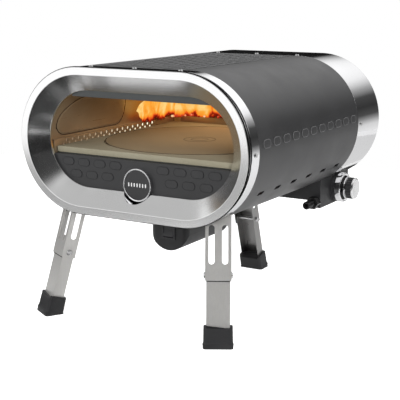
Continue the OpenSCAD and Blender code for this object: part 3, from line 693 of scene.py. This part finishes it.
def make_badge():
    """A polished bead round a dark face, with a row of plain dashes for a mark."""
    ring_low, ring_high = extent("badge_ring")
    inner = BADGE_R - 2.6
    profile = rounded([
        (BADGE_R, ring_low.y, 0.9), (BADGE_R, ring_high.y, 0.3), (BADGE_R - 6, ring_high.y, 0),
        (BADGE_R - 6, MOUTH_DEPTH + 2, 0), (inner, MOUTH_DEPTH + 2, 0), (inner, ring_low.y, 0.9),
    ])
    piece("badge_bead", lathe(profile, along_y(0, 0, BADGE_Z), 96), POLISHED,
          replaces=["badge_ring"])
    back = extent("badge_face")[1].y
    front = BADGE_FACE_Y + 0.6
    disc = rounded([(0, front, 0), (inner - 0.1, front, 0.3), (inner - 0.1, back, 0), (0, back, 0)])
    piece("badge_disc", lathe(disc, along_y(0, 0, BADGE_Z), 96), PANEL,
          replaces=["badge_face"])
    bm = bmesh.new()
    for k in range(-3, 4):
        add_dash(bm, 5.4 * k, BADGE_Z, 1.0, 3.2, front + 0.1, BADGE_FACE_Y)
    piece("badge_dashes", bm, MARKING)


def add_dash(bm, x, z, half_width, half_length, back, front):
    """Adds an upright dash with round ends, between two depths."""
    outline = []
    for side, first in ((1, 0), (-1, 180)):
        for k in range(9):
            angle = math.radians(first + 22.5 * k)
            outline.append((x + half_width * math.cos(angle),
                            z + side * (half_length - half_width) + half_width * math.sin(angle)))
    rings = [[bm.verts.new((px, y, pz)) for px, pz in outline] for y in (back, front)]
    bridge(bm, rings, True, False)
    for ring in rings:
        bm.faces.new(ring)


make_badge()

# ---------- painted highlight and shade round the embossed dashes ---

DASH_RADIUS, DASH_STRAIGHT, DASH_HIGH = 6.25, 10.5, 0.8
RIM_RADIUS = 0.42
# Rows of dashes as the CAD has them: along the top, along each side, and on the front panel,
# where a row has its first place, its height and its count
TOP_ROWS, TOP_ROW_PITCH = 4, 20
TOP_FIRST, TOP_PITCH, TOP_COUNT = 62, 30, 12
SIDE_UP = 13
SIDE_FIRST, SIDE_PITCH, SIDE_COUNT = 61, 33.7, 11
PANEL_ROWS = ((46, -40, 4), (62, -60, 3))
PANEL_PITCH = 32


def dash_outline():
    """Points round a dash that lies along the first coordinate."""
    points = []
    for end, first in ((1, -90), (-1, 90)):
        for k in range(9):
            angle = math.radians(first + 22.5 * k)
            points.append((end * DASH_STRAIGHT / 2 + DASH_RADIUS * math.cos(angle),
                           DASH_RADIUS * math.sin(angle)))
    return points


def make_dash_light_and_shade():
    """Thin tubes round each dash's edge: pale ones on the shell as a painted highlight, dark ones on the front
    panel as painted shade.
    """
    bm = bmesh.new()
    outline = dash_outline()
    ridge = BODY_R + DASH_HIGH - 0.2
    for row in range(-TOP_ROWS, TOP_ROWS + 1):
        for k in range(TOP_COUNT):
            y = TOP_FIRST + TOP_PITCH * (k + (row % 2) / 2)
            if y < SHELL_REAR - 20:
                path = [Vector((row * TOP_ROW_PITCH + v, y + u, ridge)) for u, v in outline]
                add_tube(bm, path, [Vector((0, 0, 1))] * len(path), RIM_RADIUS)
    for side in (-1, 1):
        for k in range(SIDE_COUNT):
            path, ups = [], []
            for u, v in outline:
                angle = math.asin((SIDE_UP + v) / (BODY_R + DASH_HIGH))
                up = Vector((side * math.cos(angle), 0, math.sin(angle)))
                ups.append(up)
                path.append(Vector((side * HALF, SIDE_FIRST + SIDE_PITCH * k + u, 0)) + ridge * up)
            add_tube(bm, path, ups, RIM_RADIUS)
    # the shell's pale rims are a painted highlight
    piece("shell_dash_highlights", bm, RIM_HIGHLIGHT)
    bm = bmesh.new()
    for side in (-1, 1):
        for first, z, count in PANEL_ROWS:
            for k in range(count):
                x = side * (first + PANEL_PITCH * k)
                path = [Vector((x + u, LIP_END - 0.1, z + v)) for u, v in outline]
                add_tube(bm, path, [Vector((0, -1, 0))] * len(path), RIM_RADIUS)
    # the panel's dark rims are painted shade
    piece("panel_dash_shade_lines", bm, PANEL_SHADE_LINE)


make_dash_light_and_shade()

# ---------- gas knob and inlet ----------

KNOB_R = (KNOB_HIGH.z - KNOB_LOW.z) / 2 - 0.7
GRIP_BACK = 184.4
FLUTES = 24
THREAD_PITCH = 2.2


def make_knob():
    """A fluted grip, a bright skirt behind it and a dished bright cap."""

    def fluted(r, h, angle):
        if r < KNOB_R - 1.6:
            return r
        wave = 0.5 + 0.5 * math.cos(FLUTES * angle)
        return r - 0.9 * (1 - wave) ** 2

    x0 = GRIP_BACK
    length = KNOB_HIGH.x - x0
    grip = rounded([(5, 0, 0), (KNOB_R - 1.5, 0, 0.4), (KNOB_R, 1.4, 0.6), (KNOB_R, length, 0.8),
                    (5, length, 0)])
    piece("knob_grip", lathe(grip, along_x(x0, KNOB_Y, KNOB_Z), 192, fluted), PLASTIC,
          body="knob", replaces=["gas_knob"])
    skirt_back = KNOB_LOW.x - x0
    skirt = rounded([(5, skirt_back, 0), (KNOB_R + 0.6, skirt_back, 0.5), (KNOB_R + 0.6, -0.7, 0.5),
                     (KNOB_R - 2, -0.7, 0.2), (KNOB_R - 2, 0.1, 0), (5, 0.1, 0)])
    piece("knob_skirt", lathe(skirt, along_x(x0, KNOB_Y, KNOB_Z), 96), POLISHED,
          body="knob")
    cap_low, cap_high = extent("knob_cap")
    thick = cap_high.x - cap_low.x
    cap_r = (cap_high.z - cap_low.z) / 2
    cap = rounded([(0, 0, 0), (cap_r, 0, 0.3), (cap_r, thick - 1.2, 0.8), (cap_r - 2, thick, 0.8),
                   (cap_r - 4, thick - 0.1, 0.4), (0, thick - 0.7, 0)])
    piece("knob_face", lathe(cap, along_x(cap_low.x, KNOB_Y, KNOB_Z), 96), STAINLESS,
          body="knob", replaces=["knob_cap"])
    bezel_low, bezel_high = extent("knob_bezel")
    outer = (bezel_high.z - bezel_low.z) / 2
    deep = bezel_high.x - bezel_low.x
    bezel = rounded([(outer - 5, 0, 0), (outer, 0, 0.5), (outer, deep, 1.6), (outer - 3.2, deep, 0.6),
                     (outer - 3.2, deep - 2, 0.3), (outer - 5, deep - 2, 0.3)])
    piece("knob_collar", lathe(bezel, along_x(bezel_low.x, KNOB_Y, KNOB_Z), 96), POLISHED,
          replaces=["knob_bezel"])


def make_spigot():
    """The gas inlet: a hollow spigot with rounded threads."""
    low, high = extent("inlet_spigot")
    middle = (low.x + high.x) / 2, (low.z + high.z) / 2
    radius = (high.z - low.z) / 2
    nut_front = extent("inlet_nut")[0].y
    wall = nut_front - low.y
    corners = [(4, 0, 0.4), (radius - 0.6, 0, 0.6)]
    for k in range(int((wall - 3) / THREAD_PITCH)):
        start = 1.6 + k * THREAD_PITCH
        corners += [(radius, start, 0.3), (radius, start + THREAD_PITCH * 0.45, 0.3),
                    (radius - 0.7, start + THREAD_PITCH * 0.6, 0.15),
                    (radius - 0.7, start + THREAD_PITCH * 0.85, 0.15)]
    shank = radius - 0.8
    corners += [(shank, wall, 0), (shank, high.y - low.y, 0), (4, high.y - low.y, 0)]
    piece("inlet_thread", lathe(rounded(corners, 2), along_y(middle[0], low.y, middle[1]), 64),
          DARK_BRASS, replaces=["inlet_spigot"])


make_knob()
make_spigot()

# ---------- feet ----------

FOOT_HEIGHT = 32
# A foot's height along the leg, width and depth, from below the floor up to its rim
FOOT_SHAPE = ((-14, 47, 31), (1.2, 47.6, 31.6), (2.2, 48.4, 32.4), (4, 48.4, 32.4), (5.5, 47.2, 31.2),
              (7.5, 46.2, 30.2), (26, 45.8, 29.8), (FOOT_HEIGHT - 0.6, 45.6, 29.6),
              (FOOT_HEIGHT, 44.6, 28.6))
FOOT_CORNER = 4.5
# How far the rim dips between its corners, and from what height
FOOT_DIP = 4.5
DIP_START = 28
# A channel's painted shadow strip: its middle from the folding joint, and its size
SHADOW_STRIP_PLACE = (0, -10.9, -9.2)
SHADOW_STRIP_SIZE = (36.4, 1.6, 1.3)


def leg_turn(side):
    """Where a leg's folding joint is and how the leg hangs from it, from the frame's joint."""
    joint = next(j for j in frame["joints"] if j["name"] == side + "_leg_fold")
    place = (Vector(joint["pos_m"]) - ORIGIN) / MM
    axis = Vector(joint["axis"])
    tilt = math.radians(joint["range_deg"][1] - 90)
    turn = Matrix.Rotation(math.atan2(axis.y, axis.x), 4, "Z") @ Matrix.Rotation(-tilt, 4, "X")
    return Matrix.Translation(place) @ turn, tilt


def make_channel_shadow_strip(side):
    """A dark strip across the lower channel where the upper channel ends: painted shadow of the gap between them.
    """
    turn = leg_turn(side)[0]
    bm = bmesh.new()
    place = turn @ Matrix.Translation(SHADOW_STRIP_PLACE) @ Matrix.Diagonal((*SHADOW_STRIP_SIZE, 1))
    bmesh.ops.create_cube(bm, size=1, matrix=place)
    piece("channel_shadow_strip_" + side, bm, SEAL)


def make_foot(side):
    """A rubber foot that widens towards the floor, cut level where it stands."""
    turn, tilt = leg_turn(side)
    floor_z = -AXIS_Z / MM
    pivot_height = turn.translation.z - floor_z
    base = -pivot_height / math.cos(tilt)
    bm = bmesh.new()
    rings = []
    for height, wide, deep in FOOT_SHAPE:
        x, y = wide / 2, deep / 2
        outline = rounded([(-x, -y, FOOT_CORNER), (x, -y, FOOT_CORNER), (x, y, FOOT_CORNER),
                           (-x, y, FOOT_CORNER)], 6)
        ring = []
        for px, py in outline:
            dip = FOOT_DIP if height > DIP_START and abs(px) < x - FOOT_CORNER + 0.1 else 0
            ring.append(bm.verts.new((px, py, base + height - dip)))
        rings.append(ring)
    bridge(bm, rings, True, False)
    bm.faces.new(rings[0])
    bm.faces.new(rings[-1])
    bmesh.ops.transform(bm, matrix=turn, verts=bm.verts)
    sliced = bmesh.ops.bisect_plane(bm, geom=bm.verts[:] + bm.edges[:] + bm.faces[:],
                                    plane_co=(0, 0, floor_z), plane_no=(0, 0, -1), clear_outer=True)
    rim = [e for e in sliced["geom_cut"] if isinstance(e, bmesh.types.BMEdge)]
    bmesh.ops.holes_fill(bm, edges=rim)
    piece("foot_" + side, bm, FOOT, body=side + "_leg",
          replaces=["leg_foot_" + side])


for leg_side in ("left", "right", "rear"):
    make_channel_shadow_strip(leg_side)
    make_foot(leg_side)

# ---------- camera ----------

CAMERA_AZIMUTH = 30.87
CAMERA_ELEVATION = 11.91
CAMERA_DISTANCE = 1.5448
CAMERA_LENS = 91.38
CAMERA_TARGET = at(133.4, 0, -72)


def heading(azimuth, elevation):
    """A direction from an azimuth, 0 at the front and positive to the right, and an elevation."""
    turn, rise = math.radians(azimuth), math.radians(elevation)
    return Vector((math.sin(turn) * math.cos(rise), -math.cos(turn) * math.cos(rise), math.sin(rise)))


def make_camera():
    """The camera at the viewing angle of the main picture."""
    away = heading(CAMERA_AZIMUTH, CAMERA_ELEVATION)
    data = bpy.data.cameras.new("camera")
    data.lens = CAMERA_LENS
    data.sensor_width = 36
    data.clip_end = 50
    camera = put("camera", data)
    camera.location = CAMERA_TARGET + CAMERA_DISTANCE * away
    camera.rotation_euler = away.to_track_quat("Z", "Y").to_euler()
    bpy.context.scene.camera = camera


make_camera()

# ---------- floor, light and world ----------

# Half of the floor's side, in metres
FLOOR_REACH = 1.35


def card(name, centre, facing, width, height, level):
    """A flat studio card that only reflections see."""
    mesh = bpy.data.meshes.new(name)
    x, y = width / 2, height / 2
    mesh.from_pydata([(-x, -y, 0), (x, -y, 0), (x, y, 0), (-x, y, 0)], [], [(0, 1, 2, 3)])
    made = put(name, mesh)
    made.location = centre
    made.rotation_euler = (Vector(facing) - Vector(centre)).to_track_quat("Z", "Y").to_euler()
    s = Shader(name, rough=1.0, specular=0.0, color=(0, 0, 0))
    s.main.inputs["Emission Color"].default_value = (level, level, level, 1)
    s.main.inputs["Emission Strength"].default_value = 1
    mesh.materials.append(s.material)
    made.visible_camera = False
    made.visible_diffuse = False
    made.visible_shadow = False
    made.visible_transmission = False


def mat(name, x, y, z, width, depth, level):
    """A card that lies face up, just above the floor."""
    card(name, (x, y, z), (x, y, z + 1), width, depth, level)


def make_floor():
    """A plain white floor, lifted for the camera so that it meets the background."""
    mesh = bpy.data.meshes.new("floor")
    reach = FLOOR_REACH
    mesh.from_pydata([(-reach, -reach, 0), (reach, -reach, 0), (reach, reach, 0), (-reach, reach, 0)],
                     [], [(0, 1, 2, 3)])
    floor = put("floor", mesh)
    s = Shader("floor", color=(0.8, 0.8, 0.8), rough=0.8, specular=0.0)
    s.main.inputs["Emission Color"].default_value = (1, 1, 1, 1)
    lift = s.node("ShaderNodeMapRange", to_min=0.12, to_max=0.9)
    s.link(s.node("ShaderNodeLightPath").outputs["Is Camera Ray"], lift.inputs["Value"])
    s.link(lift.outputs["Result"], s.main.inputs["Emission Strength"])
    mesh.materials.append(s.material)


def softbox(name, place, aim, width, height, power, colour=(1, 1, 1)):
    """A soft rectangular light, which neither the camera nor reflections see."""
    data = bpy.data.lights.new(name, "AREA")
    data.shape = "RECTANGLE"
    data.size = width
    data.size_y = height
    data.energy = power
    data.color = colour
    lamp = put(name, data)
    lamp.location = place
    lamp.rotation_euler = (Vector(place) - Vector(aim)).to_track_quat("Z", "Y").to_euler()
    lamp.visible_camera = False
    lamp.visible_glossy = False


# The room that reflections see: brightness by elevation in degrees
ROOM = ((-90, 0.9), (-15, 0.95), (-9, 0.75), (-5, 0.3), (-2, 0.08), (4, 0.04), (11, 0.07), (16, 0.4),
        (21, 1.0), (27, 1.3), (44, 1.2), (62, 0.5))
# Soft patches in it: azimuth, elevation, inner and outer radius in degrees, and brightness
PATCHES = (
    (-153, 3, 8, 15, 0.01),
    (44, 30, 18, 36, 0.04),
    (-70, 57, 16, 34, 0.55),
)
AMBIENT = 0.42


def make_world():
    """White to the camera, even for soft light, and a shaped room for reflections."""
    world = bpy.data.worlds.new("studio")
    bpy.context.scene.world = world
    world.use_nodes = True
    tree = world.node_tree
    link = tree.links.new
    facing = add_node(tree, "ShaderNodeTexCoord").outputs["Generated"]
    split = add_node(tree, "ShaderNodeSeparateXYZ")
    link(facing, split.inputs[0])
    height = add_node(tree, "ShaderNodeMapRange", from_min=-1)
    link(split.outputs["Z"], height.inputs["Value"])
    ramp = add_node(tree, "ShaderNodeValToRGB")
    link(height.outputs["Result"], ramp.inputs["Fac"])
    elements = ramp.color_ramp.elements
    while len(elements) < len(ROOM):
        elements.new(0.5)
    for element, (elevation, level) in zip(elements, ROOM):
        element.position = (math.sin(math.radians(elevation)) + 1) / 2
        element.color = (level, level, level, 1)
    shade = ramp.outputs["Color"]
    for azimuth, elevation, inner, outer, level in PATCHES:
        near = add_node(tree, "ShaderNodeVectorMath")
        near.operation = "DOT_PRODUCT"
        near.inputs[1].default_value = heading(azimuth, elevation)
        link(facing, near.inputs[0])
        spread = add_node(tree, "ShaderNodeMapRange", from_min=math.cos(math.radians(outer)),
                          from_max=math.cos(math.radians(inner)))
        spread.interpolation_type = "SMOOTHSTEP"
        link(near.outputs["Value"], spread.inputs["Value"])
        patch = add_node(tree, "ShaderNodeMixRGB")
        patch.inputs["Color2"].default_value = (level, level, level, 1)
        link(spread.outputs["Result"], patch.inputs["Fac"])
        link(shade, patch.inputs["Color1"])
        shade = patch.outputs["Color"]
    room = tree.nodes["Background"]
    link(shade, room.inputs["Color"])
    path = add_node(tree, "ShaderNodeLightPath")
    layers = room.outputs[0]
    for ray, level in (("Is Diffuse Ray", AMBIENT), ("Is Camera Ray", 1)):
        plain = add_node(tree, "ShaderNodeBackground")
        plain.inputs["Color"].default_value = (level, level, level, 1)
        mix = add_node(tree, "ShaderNodeMixShader")
        link(path.outputs[ray], mix.inputs["Fac"])
        link(layers, mix.inputs[1])
        link(plain.outputs[0], mix.inputs[2])
        layers = mix.outputs[0]
    link(layers, tree.nodes["World Output"].inputs["Surface"])


bpy.context.scene.view_settings.view_transform = "Standard"
make_floor()
make_world()
softbox("key", (-1.2, -2.0, 2.2), (0, -0.4, 0), 1.4, 1.4, 24)
softbox("fill", (1.9, -2.4, 1.3), at(0, 100, -100), 1.2, 1.0, 92)
softbox("back", (0.6, 2.4, 2.2), at(0, 300, 0), 2.4, 0.8, 30)
# a dark screen to the right of the camera, and dark mats ahead of the mouth
card("screen", (0.94, -0.78, 0.20), at(-200, 10, 0), 1.3, 0.8, 0.008)
mat("mat", 0.40, -0.75, 0.004, 0.84, 0.50, 0.03)
mat("mouth_mat", -0.04, -0.47, 0.005, 0.32, 0.20, 0.03)
mat("near_mat", -0.06, -0.345, 0.003, 0.52, 0.15, 0.14)
# a bright strip under the mouth, for the slope above it, and a dark mat beside the left leg
mat("strip", -0.30, -0.155, 0.006, 0.42, 0.12, 2.0)
mat("side_mat", -0.44, -0.31, 0.005, 0.46, 0.18, 0.02)
# a white board ahead on the left, for the ring, darker below
card("board", (-0.34, -0.83, 0.33), (0, -0.25, 0.35), 1.05, 0.30, 1.20)
card("low_board", (-0.34, -0.83, 0.07), (0, -0.25, 0.2), 1.05, 0.22, 0.42)
# behind: a dark mat for the underside of the rear cap, and a pale one for its side
mat("rear_mat", -0.46, 1.20, 0.004, 1.04, 1.2, 0.05)
mat("rear_strip", 0.32, 0.86, 0.005, 0.42, 0.5, 0.72)

# ---------- fire ----------

FIRE_START = 300
FIRE_LOW = GUARD_HIGH.z - 3
FIRE_TALL = 62
FIRE_RIGHT = 150
FIRE_TURN = 14
FIRE_STEPS = 14
# depths along the painted-light strip behind the left guard
GUARD_BACKLIGHT_DEPTHS = (40, 200, 345)


def glow(name):
    """An emission material and its nodes: the tree, the emission and the output."""
    material = bpy.data.materials.new(name)
    material.use_nodes = True
    tree = material.node_tree
    tree.nodes.clear()
    light = add_node(tree, "ShaderNodeEmission")
    out = add_node(tree, "ShaderNodeOutputMaterial")
    tree.links.new(light.outputs[0], out.inputs["Surface"])
    return material, tree, light, out


def fill_ramp(tree, stops):
    """A colour ramp with these places and colours."""
    made = add_node(tree, "ShaderNodeValToRGB")
    elements = made.color_ramp.elements
    while len(elements) < len(stops):
        elements.new(0.5)
    for element, (place, colour) in zip(elements, stops):
        element.position = place
        element.color = (*colour, 1)
    return made


def fire_material():
    """Flame sheet: black and dark red at the foot, then orange with yellow tongues."""
    material, tree, light, out = glow("fire")
    link = tree.links.new
    foot = at(0, 0, FIRE_LOW).z
    coords = add_node(tree, "ShaderNodeTexCoord")
    mapping = add_node(tree, "ShaderNodeMapping", scale=(1, 1, 0.6))
    wave = add_node(tree, "ShaderNodeTexNoise", scale=40, detail=6, distortion=0.9)
    split = add_node(tree, "ShaderNodeSeparateXYZ")
    height = add_node(tree, "ShaderNodeMapRange", from_min=foot + 0.001, from_max=foot + 0.018,
                      to_min=-0.22, to_max=0.24)
    both = add_node(tree, "ShaderNodeMath")
    colours = fill_ramp(tree, ((0.30, (0.02, 0.002, 0.001)), (0.40, (0.30, 0.012, 0.004)),
                               (0.48, (0.82, 0.09, 0.012)), (0.56, (0.97, 0.30, 0.025)),
                               (0.66, (0.99, 0.42, 0.05)), (0.82, (1.0, 0.66, 0.22))))
    solid = add_node(tree, "ShaderNodeMapRange", from_min=0.30, from_max=0.36)
    clear = add_node(tree, "ShaderNodeBsdfTransparent")
    mix = add_node(tree, "ShaderNodeMixShader")
    link(coords.outputs["Object"], mapping.inputs["Vector"])
    link(mapping.outputs["Vector"], wave.inputs["Vector"])
    link(coords.outputs["Object"], split.inputs[0])
    link(split.outputs["Z"], height.inputs["Value"])
    link(wave.outputs["Fac"], both.inputs[0])
    link(height.outputs["Result"], both.inputs[1])
    link(both.outputs[0], colours.inputs["Fac"])
    link(colours.outputs["Color"], light.inputs["Color"])
    link(both.outputs[0], solid.inputs["Value"])
    link(solid.outputs["Result"], mix.inputs["Fac"])
    link(clear.outputs[0], mix.inputs[1])
    link(light.outputs[0], mix.inputs[2])
    link(mix.outputs[0], out.inputs["Surface"])
    return material


def fire_path(inset):
    """Places along the burner: back beside the left guard, round the corner and across."""
    left, rear = GUARD_LOW.x + 5 + inset, GUARD_HIGH.y + 6 - inset
    corner = [(left + FIRE_TURN * (1 - math.sin(a)), rear - FIRE_TURN * (1 - math.cos(a)))
              for a in (math.radians(90 - 15 * k) for k in range(7))]
    side = [(left, FIRE_START + (rear - FIRE_TURN - FIRE_START) * k / 24) for k in range(24)]
    back = [(left + FIRE_TURN + (FIRE_RIGHT - left - FIRE_TURN) * k / 48, rear) for k in range(1, 49)]
    return side + corner + back


def stage_mesh(name, bm, material):
    """Shows a mesh that isn't part of the object."""
    mesh = to_mesh(name, bm, solid=False)
    mesh.materials.append(material)
    put(name, mesh)


def make_fire():
    """Wavering sheets of flame over the burner, behind the guard."""
    material = fire_material()
    for layer in range(2):
        bm = bmesh.new()
        rows = []
        path = fire_path(5 * layer)
        for k, (x, y) in enumerate(path):
            row = []
            grown = min(1, 0.45 + k / 20)
            for j in range(FIRE_STEPS + 1):
                rise = j / FIRE_STEPS
                sway = noise.noise(Vector((x * 0.03, y * 0.03, rise * 2 + layer * 7))) * 9 * rise
                lean = -34 * rise * (1 - min(1, k / 18))
                row.append(bm.verts.new((x + sway + 8 * rise, y + sway + lean,
                                         FIRE_LOW + rise * FIRE_TALL * grown)))
            rows.append(row)
        bridge(bm, rows, False, False)
        stage_mesh("flames", bm, material)


def make_embers():
    """Glowing lumps at the foot of the flames."""
    bm = bmesh.new()
    for k, (x, y) in enumerate(fire_path(7)[20:]):
        chance = noise.noise(Vector((k * 1.7, 3.1, 0.4)))
        if chance < -0.05:
            continue
        place = Matrix.Translation((x, y, GUARD_HIGH.z + 1 + 4 * chance))
        bmesh.ops.create_icosphere(bm, subdivisions=2, radius=2.0 + 1.5 * chance, matrix=place)
    material, tree, light = glow("embers")[:3]
    coords = add_node(tree, "ShaderNodeTexCoord")
    wave = add_node(tree, "ShaderNodeTexNoise", scale=55)
    colours = fill_ramp(tree, ((0.38, (0.25, 0.01, 0.005)), (0.5, (0.85, 0.10, 0.04)),
                               (0.62, (1.0, 0.62, 0.30))))
    tree.links.new(coords.outputs["Object"], wave.inputs["Vector"])
    tree.links.new(wave.outputs["Fac"], colours.inputs["Fac"])
    tree.links.new(colours.outputs["Color"], light.inputs["Color"])
    stage_mesh("embers", bm, material)


def make_guard_painted_light():
    """An emissive strip behind the left guard, seen through its holes: painted light for the lit chamber wall,
    brighter towards the back.
    """
    bm = bmesh.new()
    rows = [[bm.verts.new((GUARD_LOW.x + 2.2, y, z)) for z in (GUARD_HIGH.z - 16, GUARD_HIGH.z - 2)]
            for y in GUARD_BACKLIGHT_DEPTHS]
    bridge(bm, rows, False, False)
    material, tree, light = glow("guard_painted_light")[:3]
    coords = add_node(tree, "ShaderNodeTexCoord")
    split = add_node(tree, "ShaderNodeSeparateXYZ")
    back = add_node(tree, "ShaderNodeMapRange", from_min=at(0, GUARD_BACKLIGHT_DEPTHS[0], 0).y,
                    from_max=at(0, GUARD_BACKLIGHT_DEPTHS[-1], 0).y)
    colours = fill_ramp(tree, ((0.0, (0.16, 0.10, 0.06)), (0.35, (0.40, 0.29, 0.18)),
                               (0.65, (0.85, 0.70, 0.50)), (0.9, (1.3, 1.2, 0.9))))
    tree.links.new(coords.outputs["Object"], split.inputs[0])
    tree.links.new(split.outputs["Y"], back.inputs["Value"])
    tree.links.new(back.outputs["Result"], colours.inputs["Fac"])
    tree.links.new(colours.outputs["Color"], light.inputs["Color"])
    stage_mesh("guard_painted_light", bm, material)


make_fire()
make_embers()
make_guard_painted_light()
softbox("fire_glow", at(-20, 404, 30), at(-60, 200, 0), 0.26, 0.04, 0.15, (1.0, 0.60, 0.30))
softbox("dome_glow", at(10, 265, 80), at(10, 260, -20), 0.24, 0.24, 0.28, (1.0, 0.78, 0.55))
